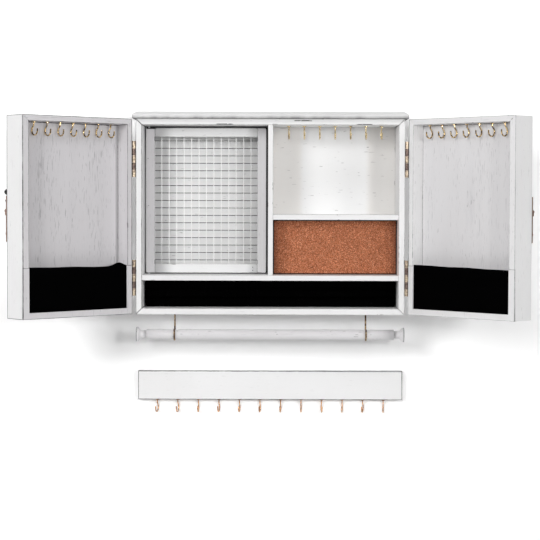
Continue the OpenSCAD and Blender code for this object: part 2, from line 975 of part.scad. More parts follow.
// Three mitred strips around the pocket
module strip_frame() {
    low = door_floor + strip_lip;
    near = door_in0 + strip_lip;
    far = door_in1 - strip_lip;
    door_layer(0, strip_frame_t) {
        polygon([[door_l0, door_z0], [near, low], [near, pocket_z], [door_l0, pocket_z]]);
        polygon([[door_l1, door_z0], [far, low], [far, pocket_z], [door_l1, pocket_z]]);
    }
    door_layer(0, strip_frame_t)
        polygon([[door_l0, door_z0], [door_l1, door_z0], [far, low], [near, low]]);
}

// Height of the fabric's top edge at a distance along the door
function fabric_edge(l, bulge) =
    pocket_z + fabric_wave * sin(4 * (l - door_in0)) * sin(0.9 * (l - door_in0))
    + bulge * exp(-pow((l - door_in0 - 16) / 13, 2));

module pocket(bulge) {
    steps = 40;
    width = door_in1 - door_in0;
    edge = [for (i = [0 : steps])
        let (l = door_in0 + width * i / steps)
        [l, fabric_edge(l, bulge)]];
    door_layer(strip_frame_t, strip_frame_t + fabric_t)
        polygon(concat([[door_in1, door_floor], [door_in0, door_floor]], edge));
}

module door_hooks() {
    for (i = [0 : row_hooks - 1])
        translate([door_mid + (i - (row_hooks - 1) / 2) * hook_pitch, -rim_gap / 2 - door_hook_d,
            door_ceiling])
            rotate([0, 0, 180])
                cup_hook();
}

// The door's leaves lie on its hinge-side board, opposite the case's leaves
module door_leaf_places() {
    for (z = hinge_zs)
        translate([0, 0, z + hinge_len / 2])
            rotate([180, 0, 0])
                children();
}

module door_leaves() {
    door_leaf_places()
        leaf([1, 3]);
}

module door_screws() {
    door_leaf_places()
        leaf_screws()
            screw(screw_len);
}

// Half plate at the free edge, with notched corners, and the post that carries the drop pull
module pull_plate() {
    along_y(-door_face - plate_t, -door_face)
        difference() {
            translate([door_l1 - plate_w, plate_mid - plate_h / 2])
                square([plate_w, plate_h]);
            for (z = [-plate_h / 2, plate_h / 2])
                translate([door_l1 - plate_w, plate_mid + z])
                    circle(r = plate_notch);
        }
    translate([post_l, -door_face - plate_t, post_z])
        rotate([90, 0, 0])
            cylinder(h = drop_axis - plate_t + post_ball_r, r = post_stem_r);
    translate([post_l, -door_face - drop_axis - post_ball_r, post_z])
        sphere(r = post_ball_r);
    translate([post_l - ear_gap - ear_t - 0.3, -door_face - drop_axis, post_z])
        rotate([0, 90, 0])
            cylinder(h = 2 * (ear_gap + ear_t + 0.3), d = drop_pin_d);
}

// The drop hangs from its pin by two ears
module drop_pull() {
    bulb_r = drop_d / 2;
    translate([post_l, -door_face - drop_axis, post_z]) {
        difference() {
            union() {
                for (side = [-1, 1]) {
                    x0 = side > 0 ? ear_gap : -ear_gap - ear_t;
                    translate([x0, 0, 0])
                        rotate([0, 90, 0])
                            cylinder(h = ear_t, r = ear_r);
                    block(x0, x0 + ear_t, -1.4, 1.4, -yoke_top - 2, 0);
                }
            }
            translate([-ear_gap - ear_t - 1, 0, 0])
                rotate([0, 90, 0])
                    cylinder(h = 2 * (ear_gap + ear_t + 1), r = drop_pin_d / 2 + run_gap);
        }
        block(-ear_gap - ear_t, ear_gap + ear_t, -1.4, 1.4, -yoke_top - 2, -yoke_top);
        translate([0, 0, -drop_len + bulb_r])
            sphere(r = bulb_r);
        translate([0, 0, -drop_len + bulb_r])
            cylinder(h = 13, r1 = bulb_r, r2 = 1.3);
        translate([0, 0, -drop_len + bulb_r + 13])
            cylinder(h = drop_len - bulb_r - 13 - yoke_top - 1, r = 1.3);
    }
}

module left_door_top() {
    color(paint)
        at_left()
            door_top();
}

module left_door_bottom() {
    color(paint)
        at_left()
            door_bottom();
}

module left_door_hinge_board() {
    color(paint)
        at_left()
            door_hinge_board();
}

module left_door_free_board() {
    color(paint)
        at_left()
            door_free_board();
}

module left_door_panel() {
    color(paint)
        at_left()
            door_panel();
}

module left_door_planks() {
    color(paint)
        at_left()
            door_planks();
}

module left_strip_frame() {
    color(paint)
        at_left()
            strip_frame();
}

module left_pocket() {
    color(black)
        at_left()
            pocket(fabric_bulge);
}

module left_door_hooks() {
    color(brass)
        at_left()
            door_hooks();
}

module left_door_leaves() {
    color(brass)
        at_left()
            door_leaves();
}

module left_door_screws() {
    color(brass)
        at_left()
            door_screws();
}

module left_pull_plate() {
    color(antique)
        at_left()
            pull_plate();
}

module left_drop_pull() {
    color(antique)
        at_left()
            drop_pull();
}

// Latch: a domed post on the left door carries a small hook that swings across to a stud

module latch_post() {
    dome_z = latch_level + latch_arm_t + latch_gap;
    color(black)
        at_left()
            translate([latch_l, -door_face, latch_pos_z])
                rotate([90, 0, 0]) {
                    cylinder(h = latch_base_t, r = latch_base_r);
                    cylinder(h = dome_z, r = latch_stem_r);
                    translate([0, 0, dome_z])
                        intersection() {
                            sphere(d = dome_d);
                            cylinder(h = dome_d, d = dome_d + 1);
                        }
                }
}

module latch_hook() {
    tilt = 25;
    color(black)
        at_left()
            translate([latch_l, -door_face - latch_level, latch_pos_z])
                rotate([90, 0, 0]) {
                    linear_extrude(latch_arm_t)
                        difference() {
                            union() {
                                circle(r = latch_eye_r);
                                translate([-latch_arm_w / 2, -latch_reach])
                                    square([latch_arm_w, latch_reach]);
                                translate([0, -latch_reach])
                                    circle(r = notch_r + 1.4);
                            }
                            circle(r = latch_stem_r + run_gap);
                            translate([0, -latch_reach])
                                circle(r = notch_r);
                            translate([-notch_r - 3, -latch_reach - notch_r])
                                square([notch_r + 3, 2 * notch_r]);
                        }
                    translate([0, -latch_reach + notch_r + 1.3, latch_arm_t - 0.6])
                        rotate([tilt, 0, 0])
                            cylinder(h = 6, r = 1.1);
                }
}

module latch_stud() {
    color(black)
        at_right()
            translate([door_l1 - stud_in, -door_face, latch_pos_z])
                rotate([90, 0, 0]) {
                    cylinder(h = stud_len, r = stud_r);
                    cylinder(h = 1, r = 2 * stud_r);
                }
}

module right_door_top() {
    color(paint)
        at_right()
            door_top();
}

module right_door_bottom() {
    color(paint)
        at_right()
            door_bottom();
}

module right_door_hinge_board() {
    color(paint)
        at_right()
            door_hinge_board();
}

module right_door_free_board() {
    color(paint)
        at_right()
            door_free_board();
}

module right_door_panel() {
    color(paint)
        at_right()
            door_panel();
}

module right_door_planks() {
    color(paint)
        at_right()
            door_planks();
}

module right_strip_frame() {
    color(paint)
        at_right()
            strip_frame();
}

module right_pocket() {
    color(black)
        at_right()
            pocket(0);
}

module right_door_hooks() {
    color(brass)
        at_right()
            door_hooks();
}

module right_door_leaves() {
    color(brass)
        at_right()
            door_leaves();
}

module right_door_screws() {
    color(brass)
        at_right()
            door_screws();
}

module right_pull_plate() {
    color(antique)
        at_right()
            pull_plate();
}

module right_drop_pull() {
    color(antique)
        at_right()
            drop_pull();
}

top_cap();
top_board();
bottom_board();
left_side();
right_side();
back_panel();
hanging_rail();
divider();
upper_shelf();
lower_shelf();
cork_panel();
ring_cushion();
ring_board();
necklace_hooks();
rod_hooks();
hanger_plates();
hanger_screws();
hook_strip();
strip_hooks();
case_hinge_leaves();
hinge_pins();
case_hinge_screws();
mesh_stiles();
mesh_rails();
mesh_upright_wires();
mesh_cross_wires();
mesh_pivot_pins();
bracelet_rod();
left_door_top();
left_door_bottom();
left_door_hinge_board();
left_door_free_board();
left_door_panel();
left_door_planks();
left_strip_frame();
left_pocket();
left_door_hooks();
left_door_leaves();
left_door_screws();
left_pull_plate();
left_drop_pull();
latch_post();
latch_hook();
right_door_top();
right_door_bottom();
right_door_hinge_board();
right_door_free_board();
right_door_panel();
right_door_planks();
right_strip_frame();
right_pocket();
right_door_hooks();
right_door_leaves();
right_door_screws();
right_pull_plate();
right_drop_pull();
latch_stud();
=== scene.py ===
# %% [markdown]
# # A wall-mounted jewelry box, open
# The box hangs on a wall with both of its deep doors open. The CAD model gives every piece its
# true size and place, so this script gives the pieces their finish: rubbed white paint over
# wood, brass, wire, cork and black cloth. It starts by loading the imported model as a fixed
# frame. Lengths are in metres, +Z is up and the wall is the plane y = 0.

# %% Load the frame
import json
import math

import bmesh
import bpy
from mathutils import Matrix, Vector, noise


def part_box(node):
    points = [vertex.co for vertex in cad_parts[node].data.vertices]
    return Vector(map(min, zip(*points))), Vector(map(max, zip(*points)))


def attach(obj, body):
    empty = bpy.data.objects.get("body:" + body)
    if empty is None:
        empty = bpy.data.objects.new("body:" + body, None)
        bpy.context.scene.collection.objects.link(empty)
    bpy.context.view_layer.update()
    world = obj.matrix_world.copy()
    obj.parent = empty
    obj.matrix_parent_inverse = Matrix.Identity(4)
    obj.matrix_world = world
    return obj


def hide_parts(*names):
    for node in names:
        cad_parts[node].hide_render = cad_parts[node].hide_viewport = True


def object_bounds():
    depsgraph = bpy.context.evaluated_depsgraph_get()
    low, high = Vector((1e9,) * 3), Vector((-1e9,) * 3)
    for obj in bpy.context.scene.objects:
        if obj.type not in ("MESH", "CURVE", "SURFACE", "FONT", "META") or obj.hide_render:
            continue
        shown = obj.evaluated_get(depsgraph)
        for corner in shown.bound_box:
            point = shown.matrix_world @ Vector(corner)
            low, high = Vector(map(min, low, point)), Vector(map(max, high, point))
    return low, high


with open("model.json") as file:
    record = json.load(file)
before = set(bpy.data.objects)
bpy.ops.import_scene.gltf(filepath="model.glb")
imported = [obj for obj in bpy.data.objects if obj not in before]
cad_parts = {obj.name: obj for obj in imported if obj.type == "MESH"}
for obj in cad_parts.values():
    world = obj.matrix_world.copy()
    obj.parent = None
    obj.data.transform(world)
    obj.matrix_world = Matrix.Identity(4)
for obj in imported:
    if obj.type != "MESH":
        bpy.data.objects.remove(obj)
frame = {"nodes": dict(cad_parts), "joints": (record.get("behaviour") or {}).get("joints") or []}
cad_low, cad_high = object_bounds()
print("CAD box", [round(v, 3) for v in cad_low], [round(v, 3) for v in cad_high])

# %% [markdown]
# ## Places that the pieces share
# Much of the work below is measured from the case.

# %% The case's outline
left_low, left_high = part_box("left_side")
right_low, right_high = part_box("right_side")
case_low = Vector((left_low.x, left_low.y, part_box("bottom_board")[0].z))
case_high = Vector((right_high.x, 0.0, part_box("top_board")[1].z))
front_y = case_low.y
case_bottom = case_low.z
print("case", [round(v, 4) for v in case_high - case_low])

# %% [markdown]
# ## Doors as they hang when shut
# Each door stands open at an odd angle, and its boards lie along the axes only when it is shut.
# The hinge joint's place and range are in the frame, so one matrix turns a point of the open
# door back to the shut one, where it is far easier to work on.

# %% A matrix for each door
joints = {j["name"]: j for j in frame["joints"]}


def shut_matrix(side):
    joint = joints[f"{side}_door_swing"]
    spot = Matrix.Translation(Vector(joint["pos_m"]))
    low, high = joint["range_deg"]
    closing = high if side == "left" else low
    return spot @ Matrix.Rotation(math.radians(closing), 4, "Z") @ spot.inverted()


def shut_points(side, node):
    source = frame["nodes"][node]
    return [shut[side] @ (source.matrix_world @ v.co) for v in source.data.vertices]


def span(points):
    columns = list(zip(*points))
    return Vector(min(c) for c in columns), Vector(max(c) for c in columns)


shut = {side: shut_matrix(side) for side in ("left", "right")}
opened = {side: shut[side].inverted() for side in shut}
print("doors stand open", {s: round(math.degrees(opened[s].to_euler().z), 1) for s in opened})

# %% [markdown]
# ## The camera
# The photograph was taken with a long lens from straight ahead and a little above the middle.
# Such a lens stands far back, so the case's sides stay nearly parallel, as in the picture.

# %% Camera
SENSOR_MM = 36.0
FOCAL_PIXELS, PICTURE_PIXELS = 1748, 540
CAMERA_RIGHT, CAMERA_BACK, CAMERA_UP = 0.020, 2.925, 0.190
LOOK_DOWN, ROLL, LOOK_LEFT = 2.25, -0.14, 0.4

scene = bpy.context.scene
camera_data = bpy.data.cameras.new("camera")
camera_data.sensor_width = SENSOR_MM
camera_data.lens = SENSOR_MM * FOCAL_PIXELS / PICTURE_PIXELS
camera_data.clip_end = 50
camera = bpy.data.objects.new("camera", camera_data)
scene.collection.objects.link(camera)
camera.location = (CAMERA_RIGHT, front_y - CAMERA_BACK, case_bottom + CAMERA_UP)
camera.rotation_euler = [math.radians(angle) for angle in (90 - LOOK_DOWN, ROLL, LOOK_LEFT)]
scene.camera = camera
print("lens", round(camera_data.lens, 1), "mm")

# %% [markdown]
# ## Wall and floor
# The product was shot against white, and only a soft grey shadow ties it to the wall. The wall
# is a real surface that catches that shadow. It has openings behind the case, the cap and the
# hook strip, which the pieces hide from the front, so that their backs can be looked at too.
# A grid is the quickest plane, and cuts along the openings' edges part off what is deleted.

# %% Wall and floor
FLOOR_BELOW = 0.9

scene.view_settings.view_transform = "Standard"


def new_mesh_object(name, bm):
    mesh = bpy.data.meshes.new(name)
    bm.to_mesh(mesh)
    bm.free()
    obj = bpy.data.objects.new(name, mesh)
    scene.collection.objects.link(obj)
    return obj


def wall_with_openings():
    covered = [(case_low, case_high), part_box("top_cap"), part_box("hook_strip")]
    bm = bmesh.new()
    bmesh.ops.create_grid(bm, x_segments=1, y_segments=1, size=3.0)
    bmesh.ops.rotate(bm, verts=bm.verts, matrix=Matrix.Rotation(math.pi / 2, 3, "X"))
    for corner in (corner for pair in covered for corner in pair):
        for direction in (Vector((1, 0, 0)), Vector((0, 0, 1))):
            bmesh.ops.bisect_plane(bm, geom=bm.verts[:] + bm.edges[:] + bm.faces[:],
                                   plane_co=(corner.x, 0, corner.z), plane_no=direction)
    holes = []
    for face in bm.faces:
        c = face.calc_center_median()
        if any(low.x < c.x < high.x and low.z < c.z < high.z for low, high in covered):
            holes.append(face)
    bmesh.ops.delete(bm, geom=holes, context="FACES")
    return new_mesh_object("wall", bm)


def studio_floor():
    bm = bmesh.new()
    bmesh.ops.create_grid(bm, x_segments=1, y_segments=1, size=6.0)
    bmesh.ops.translate(bm, verts=bm.verts, vec=(0, 0, cad_low.z - FLOOR_BELOW))
    return new_mesh_object("floor", bm)


wall = wall_with_openings()
floor = studio_floor()
print("wall faces", len(wall.data.polygons))

# %% [markdown]
# ## A short way to write a material
# Materials are built from shader nodes. Writing each link by hand hides what a finish is made
# of, so this small class keeps it to one line per node. An input takes a number, a socket, or
# a node whose first output is meant. Masks are 1 where an effect is and 0 where it isn't, so
# `times` joins conditions and `largest` lays one mask over another.

# %% Material helper
class Finish:
    def __init__(self, name, tree=None):
        if tree is None:
            self.material = bpy.data.materials.new(name)
            self.material.use_nodes = True
            tree = self.material.node_tree
            tree.nodes.clear()
        self.tree = tree

    def node(self, kind, settings=None, **inputs):
        made = self.tree.nodes.new("ShaderNode" + kind)
        for key, value in (settings or {}).items():
            setattr(made, key, value)
        for key, value in inputs.items():
            self.feed(made, key.replace("_", " "), value)
        return made

    def feed(self, made, key, value):
        # A key is an input's name, or the letter i and its number
        numbered = key[0] == "i" and key[1:].isdigit()
        socket = made.inputs[int(key[1:]) if numbered else key]
        if isinstance(value, bpy.types.NodeSocket):
            self.tree.links.new(value, socket)
        elif isinstance(value, bpy.types.Node):
            self.tree.links.new(value.outputs[0], socket)
        else:
            socket.default_value = value

    def surface(self, **inputs):
        shader = self.node("BsdfPrincipled", **inputs)
        self.node("OutputMaterial", Surface=shader)
        return self.material

    # Where a point lies
    def place(self):
        return self.node("TexCoord").outputs["Object"]

    def attribute(self, name):
        return self.node("Attribute", {"attribute_name": name}).outputs["Vector"]

    def xyz(self, vector):
        return self.node("SeparateXYZ", Vector=vector).outputs

    def vector(self, operation, a, b=(0.0, 0.0, 0.0)):
        return self.node("VectorMath", {"operation": operation}, i0=a, i1=b)

    def from_centre(self, node):
        low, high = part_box(node)
        offset = self.vector("SUBTRACT", self.place(), (low + high) / 2)
        return (high - low) / 2, self.xyz(self.vector("ABSOLUTE", offset))

    # Sums on one value
    def math(self, operation, a, b=0.0, c=0.0, clamp=False):
        return self.node("Math", {"operation": operation, "use_clamp": clamp}, i0=a, i1=b, i2=c)

    def plus(self, a, b):
        return self.math("ADD", a, b)

    def minus(self, a, b):
        return self.math("SUBTRACT", a, b)

    def apart(self, a, b):
        return self.math("ABSOLUTE", self.minus(a, b))

    def over(self, value, limit):
        return self.math("GREATER_THAN", value, limit)

    def under(self, value, limit):
        return self.math("LESS_THAN", value, limit)

    def times(self, first, *others):
        for other in others:
            first = self.math("MULTIPLY", first, other)
        return first

    def largest(self, first, *others):
        for other in others:
            first = self.math("MAXIMUM", first, other)
        return first

    def ramp(self, value, low, high, out_low=0.0, out_high=1.0, smooth=True):
        kind = "SMOOTHSTEP" if smooth else "LINEAR"
        return self.node("MapRange", {"interpolation_type": kind},
                         i0=value, i1=low, i2=high, i3=out_low, i4=out_high)

    # Colours and patterns
    def mix(self, factor, a, b, blend="MIX"):
        settings = {"data_type": "RGBA", "blend_type": blend}
        return self.node("Mix", settings, i0=factor, i6=a, i7=b).outputs[2]

    def speckle(self, vector, scale, detail=2.0, rough=0.5):
        return self.node("TexNoise", Vector=vector, Scale=scale, Detail=detail, Roughness=rough).outputs[0]

    def stretched(self, vector, scales, detail=2.0, rough=0.5):
        return self.speckle(self.vector("MULTIPLY", vector, scales), 1.0, detail, rough)


def grey(v):
    return (v, v, v, 1.0)


# %% [markdown]
# ## The white of the wall and floor
# A studio overexposes its background until it is pure white. Here only the eye is shown that
# white, through Light Path's Is Camera Ray, and the wall lights the box at a natural level. The
# floor lies below most of the light, so the eye is shown an even, pale grey. Both let the eye
# through from behind, so that the backs and the underside can be seen.

# %% Finish of the wall and floor
WALL_IN_SHADE = grey(0.97)
WALL_IN_LIGHT = grey(1.16)
SHADE_HALF = (0.25, 0.34)
SHADE_DOWN = (0.068, 0.098)
SHADE_UP = 0.05


def seen_from_front(f, shader):
    behind = f.node("NewGeometry").outputs["Backfacing"]
    mixed = f.node("MixShader", i0=behind, i1=shader, i2=f.node("BsdfTransparent"))
    f.node("OutputMaterial", Surface=mixed)
    return f.material


def wall_finish():
    f = Finish("wall_white")
    x, y, z = f.xyz(f.place())
    # Painted shadow: the eye is shown the wall darker round and under the case than further off, which
    # deepens the case's shadow on it
    beside = f.ramp(f.math("ABSOLUTE", x), *SHADE_HALF)
    below = f.ramp(f.minus(case_bottom, z), *SHADE_DOWN)
    above = f.ramp(z, case_bottom, case_bottom + SHADE_UP)
    shown = f.mix(f.largest(beside, below, above), WALL_IN_SHADE, WALL_IN_LIGHT)
    seen = f.node("LightPath").outputs["Is Camera Ray"]
    return seen_from_front(f, f.node("BsdfDiffuse", Color=f.mix(seen, grey(0.80), shown)))


def floor_finish():
    f = Finish("floor_pale")
    rays = f.node("LightPath").outputs
    seen = f.largest(rays["Is Camera Ray"], rays["Is Glossy Ray"])
    shader = f.node("BsdfPrincipled", Base_Color=grey(0.82), Roughness=0.8)
    pale = f.node("Emission", Color=grey(0.90), Strength=1.0)
    return seen_from_front(f, f.node("MixShader", i0=seen, i1=shader, i2=pale))


wall.data.materials.append(wall_finish())
floor.data.materials.append(floor_finish())
print("studio finishes", [m.name for m in bpy.data.materials])

# %% [markdown]
# ## Light
# The studio has one strong soft panel to the left of the camera and above it, and weaker ones
# to the right, straight ahead, high up and at the left side. One more panel behind the wall
# lights only the backs. A panel's level is the brightness that it alone gives a white surface
# that faces it, which is easier to judge than its watts.

# %% Lights
# Name, turn to the right, height in degrees, distance, width and height, level
SOFT_PANELS = (
    ("left_panel", -29, 14, 3.0, (0.85, 1.0), 0.42),
    ("right_panel", 27, 5, 3.0, (0.35, 0.35), 0.22),
    ("right_outer_panel", 50, 10, 2.4, (0.6, 0.9), 0.185),
    ("front_panel", 0, 8, 3.2, (1.6, 1.0), 0.08),
    ("high_panel", 0, 48, 3.0, (1.6, 0.8), 0.14),
    ("left_side_panel", -75, 5, 2.0, (0.6, 0.9), 0.16),
    ("rear_panel", 180, 20, 3.0, (1.6, 1.2), 0.7),
)
ROOM_LEVEL = 0.03
light_target = Vector((0.0, front_y, -0.13))


def soft_panel(name, azimuth, elevation, distance, size, level):
    a, e = math.radians(azimuth), math.radians(elevation)
    data = bpy.data.lights.new(name, "AREA")
    data.shape = "RECTANGLE"
    data.size, data.size_y = size
    data.energy = level * (math.pi * distance) ** 2
    lamp = bpy.data.objects.new(name, data)
    scene.collection.objects.link(lamp)
    ahead = Vector((math.sin(a) * math.cos(e), -math.cos(a) * math.cos(e), math.sin(e)))
    lamp.location = light_target + distance * ahead
    lamp.rotation_euler = ahead.to_track_quat("Z", "Y").to_euler()


def dim_world(level):
    # The eye sees a white room, while surfaces are lit by a dimmer one
    world = bpy.data.worlds.new("studio")
    world.use_nodes = True
    tree = world.node_tree
    background = tree.nodes["Background"]
    background.inputs["Color"].default_value = grey(1.0)
    f = Finish("", tree)
    seen = f.node("LightPath").outputs["Is Camera Ray"]
    f.feed(background, "Strength", f.math("MULTIPLY_ADD", seen, 1.0 - level, level))
    return world


for panel in SOFT_PANELS:
    soft_panel(*panel)
scene.world = dim_world(ROOM_LEVEL)

# %% [markdown]
# ## Boards with eased edges
# A painter rubs a board's edges back until the wood shows, so the paint must know how close an
# edge is. Each CAD board is copied, its loose triangles are merged, and its long edges are
# bevelled to catch the light. Every point then keeps its distance from the board's low sides
# and from its high sides along each axis, and its own place, turned so that the grain runs
# along the last coordinate.

# %% Copies of CAD boards
GRAIN_TURN = {"x": Matrix.Rotation(math.pi / 2, 4, "Y"), "z": Matrix.Identity(4)}


def merged_copy(node):
    source = frame["nodes"][node]
    bm = bmesh.new()
    bm.from_mesh(source.data)
    bm.transform(source.matrix_world)
    bmesh.ops.remove_doubles(bm, verts=bm.verts, dist=1e-5)
    bmesh.ops.dissolve_limit(bm, angle_limit=math.radians(0.5), verts=bm.verts, edges=bm.edges)
    return bm


def loose_parts(bm):
    left = set(bm.verts)
    while left:
        part, waiting = set(), [next(iter(left))]
        while waiting:
            v = waiting.pop()
            if v not in part:
                part.add(v)
                waiting.extend(e.other_vert(v) for e in v.link_edges)
        left -= part
        yield part


def paint_layers(bm):
    return [bm.verts.layers.float_vector.new(name) for name in ("grain", "from_low", "from_high")]


def dressed_wood(bm, node, body):
    for face in bm.faces:
        face.smooth = True
    obj = new_mesh_object(f"{node}_wood", bm)
    obj.modifiers.new("flat faces", "WEIGHTED_NORMAL").keep_sharp = True
    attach(obj, body)
    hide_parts(node)
    return obj


# %% [markdown]
# A mitred end slants, so every corner of it has to count as the board's end. `mitre` says how
# long that end is. A glued joint also wears less than a free edge, so `joint` adds a small
# distance there and the dark line stays faint.

# %% Board maker
SHARP_OVER = math.radians(28)
LONG_OVER = 0.008


def finish_board(bm, node, body, turn, mitre, joint):
    grain, from_low, from_high = paint_layers(bm)
    for part in loose_parts(bm):
        places = {v: turn @ v.co for v in part}
        low, high = span(places.values())
        for v, place in places.items():
            v[grain], v[from_low], v[from_high] = place, place - low, high - place
            if place.z - low.z < mitre:
                v[from_low] = (*v[from_low].xy, joint)
            if high.z - place.z < mitre:
                v[from_high] = (*v[from_high].xy, joint)
    return dressed_wood(bm, node, body)


def eased_board(node, body, along, side=None, ease=0.0006, mitre=0.0, joint=0.0):
    bm = merged_copy(node)
    long_edges = [e for e in bm.edges if e.is_manifold and e.calc_face_angle(0.0) > SHARP_OVER
                  and e.calc_length() > LONG_OVER]
    bmesh.ops.bevel(bm, geom=long_edges, offset=ease, segments=2, affect="EDGES", profile=0.5,
                    material=-1, clamp_overlap=True)
    turn = GRAIN_TURN[along] @ (shut[side] if side else Matrix.Identity(4))
    return finish_board(bm, node, body, turn, mitre, joint)


# %% [markdown]
# ## Rubbed white paint
# The finish is a thick white paint that was sanded back while it was new. It shows three
# things: thin dark lines where edges are worn, fine scratches that run with the grain, and
# slow changes of tone. The first two are worked out here. A point on a board's face is near
# an edge when the second of its three distances is small, because the first is always zero.

# %% Worn edges
EDGE_RAGGED = 0.0007
LINE_BLUR = 0.0003
RUB_WIDTH = 0.0015
RUB_BLUR = 0.0004


def edge_distance(f):
    x, y, z = f.xyz(f.vector("MINIMUM", f.attribute("from_low"), f.attribute("from_high")))
    return f.math("MINIMUM", f.largest(x, y), f.largest(f.math("MINIMUM", x, y), z))


def worn_edges(f, grain, width, wear):
    # A thin grey line follows every edge, and here and there it widens and darkens
    distance = edge_distance(f)
    along = f.stretched(grain, (38, 38, 38), 3.0, 0.7)
    fine = f.stretched(grain, (900, 900, 500), 2.0, 0.6)
    ragged = f.times(f.minus(fine, 0.5), EDGE_RAGGED)
    line = f.ramp(f.minus(f.plus(width, ragged), distance), 0.0, LINE_BLUR)
    line = f.times(line, f.ramp(along, 0.25, 0.6, 0.50, 0.95))
    rub = f.math("MULTIPLY_ADD", f.ramp(along, 0.56, 0.70), RUB_WIDTH, ragged)
    rub = f.ramp(f.minus(rub, distance), 0.0, RUB_BLUR)
    return f.math("MULTIPLY", f.largest(line, rub), wear, clamp=True)


# %% [markdown]
# Streaks are thin across the grain and long along it, so their noise is squeezed more across
# than along. Two slower noises gather them in columns and patches, as real sanding does. The
# flecks are shorter and darker, and come only where their noise peaks.

# %% Streaks along the grain
def streaks_along(f, grain, strength):
    thin = f.stretched(grain, (1000, 1000, 48), 2.0, 0.55)
    dash = f.stretched(grain, (900, 900, 52), 1.5, 0.5)
    column = f.stretched(grain, (90, 90, 3), 1.0, 0.5)
    patch = f.stretched(grain, (16, 16, 9), 2.0, 0.5)
    crowd = f.plus(f.times(f.minus(column, 0.5), 0.16), f.times(f.minus(patch, 0.5), 0.30))
    dark = f.ramp(f.plus(dash, crowd), 0.66, 0.71)
    haze = f.ramp(f.plus(thin, crowd), 0.50, 0.80, 0.0, 0.22)
    streaks = f.times(f.largest(dark, haze), strength)
    bands = f.times(f.ramp(column, 0.35, 0.65), 0.10, strength)
    return thin, streaks, bands


def flecks_in(f, grain, strength):
    fleck = f.stretched(grain, (520, 520, 75), 1.0, 0.5)
    return f.times(f.ramp(fleck, 0.715, 0.76), strength)


# %% [markdown]
# Every wooden piece shows these effects in its own measure, so they are one node group with
# named inputs. It lays colours over one another, from the base coat to the dark of bare wood,
# which also serves as painted shade.

# %% Paint group
PALE_COAT = (0.84, 0.838, 0.835, 1)
WHITE_COAT = (0.88, 0.88, 0.88, 1)
THIN_COAT_AND_SHADE = (0.45, 0.415, 0.45, 1)
BAND_GREY = (0.42, 0.41, 0.44, 1)
STREAK_GREY = (0.21, 0.205, 0.215, 1)
FLECK_BROWN = (0.14, 0.135, 0.135, 1)
WORN_WOOD = (0.045, 0.042, 0.042, 1)
DARK_WOOD_AND_SHADE = (0.006, 0.006, 0.006, 1)
PAINT_INPUTS = ("Edge wear", "Line width", "Streaks", "Flecks", "Tone", "Stain")


def paint_sockets(face):
    for name in PAINT_INPUTS:
        face.new_socket(name, in_out="INPUT", socket_type="NodeSocketFloat")
    face.new_socket("Tint", in_out="INPUT", socket_type="NodeSocketColor").default_value = grey(1.0)
    for name, kind in (("Color", "Color"), ("Roughness", "Float"), ("Height", "Float")):
        face.new_socket(name, in_out="OUTPUT", socket_type="NodeSocket" + kind)


def paint_group():
    tree = bpy.data.node_groups.new("rubbed paint", "ShaderNodeTree")
    paint_sockets(tree.interface)
    f = Finish("", tree)
    given = tree.nodes.new("NodeGroupInput").outputs
    grain = f.attribute("grain")
    thin, streaks, bands = streaks_along(f, grain, given["Streaks"])
    flecks = flecks_in(f, grain, given["Flecks"])
    edges = worn_edges(f, grain, given["Line width"], given["Edge wear"])
    cloud = f.stretched(grain, (9, 9, 5), 2.0, 0.5)
    color = f.mix(f.ramp(cloud, 0.3, 0.7), PALE_COAT, WHITE_COAT)
    color = f.mix(given["Tone"], color, THIN_COAT_AND_SHADE)
    color = f.mix(1.0, color, given["Tint"], "MULTIPLY")
    color = f.mix(bands, color, BAND_GREY)
    color = f.mix(streaks, color, STREAK_GREY)
    color = f.mix(flecks, color, FLECK_BROWN)
    color = f.mix(edges, color, WORN_WOOD)
    out = tree.nodes.new("NodeGroupOutput")
    f.feed(out, "Color", f.mix(given["Stain"], color, DARK_WOOD_AND_SHADE))
    f.feed(out, "Roughness", f.math("MULTIPLY_ADD", thin, 0.16, 0.46))
    f.feed(out, "Height", f.minus(f.times(thin, 0.5), f.largest(edges, f.times(flecks, 0.8))))
    return tree


rubbed_paint = paint_group()
print("paint group has", len(rubbed_paint.nodes), "nodes")

# %% [markdown]
# `paint` puts the group into a material of its own. A value may be a plain number, or a
# function that builds a mask for it out of nodes, such as a scuff or a painted shadow in one place only.

# %% Paints of the boards
def paint(name, edge=0.8, line=0.0005, streaks=0.06, flecks=0.2, tone=0.1, stain=0.0, tint=None):
    f = Finish(name)
    group = f.tree.nodes.new("ShaderNodeGroup")
    group.node_tree = rubbed_paint
    for key, value in zip(PAINT_INPUTS, (edge, line, streaks, flecks, tone, stain)):
        f.feed(group, key, value(f) if callable(value) else value)
    if tint:
        f.feed(group, "Tint", tint(f))
    bump = f.node("Bump", Strength=0.2, Distance=0.0003, Height=group.outputs["Height"])
    return f.surface(Base_Color=group.outputs["Color"], Roughness=group.outputs["Roughness"],
                     Normal=bump)


case_paint = paint("paint on the case", edge=0.55, flecks=0.12)
side_paint = paint("paint on the right side", edge=0.6, line=0.0006, flecks=0.12, tone=0.06)
strip_paint = paint("paint on the hook strip", edge=1.0, line=0.0013, flecks=0.12, tone=0.05)
# The rod's paint is toned darker as painted shade from the case above it; its flecks are wear
rod_paint = paint("darkened paint on the rod", edge=1.0, line=0.0008, streaks=0.2, flecks=0.8, tone=0.34)
door_paint = {
    "left": paint("paint on the left door", edge=0.9, line=0.0010),
    "right": paint("paint on the right door", edge=0.7),
}
free_paint = {
    "left": paint("paint on the left free board", edge=1.0, line=0.0018),
    "right": paint("paint on the right free board", edge=0.45, line=0.0009),
}
rim_paint = {
    "left": paint("paint inside the left door", edge=1.0, line=0.0011, streaks=0.3, flecks=0.5, tone=0.46),
    "right": paint("paint inside the right door", edge=0.75, line=0.0008, streaks=0.2, flecks=0.4, tone=0.16),
}
print("materials so far", len(bpy.data.materials))
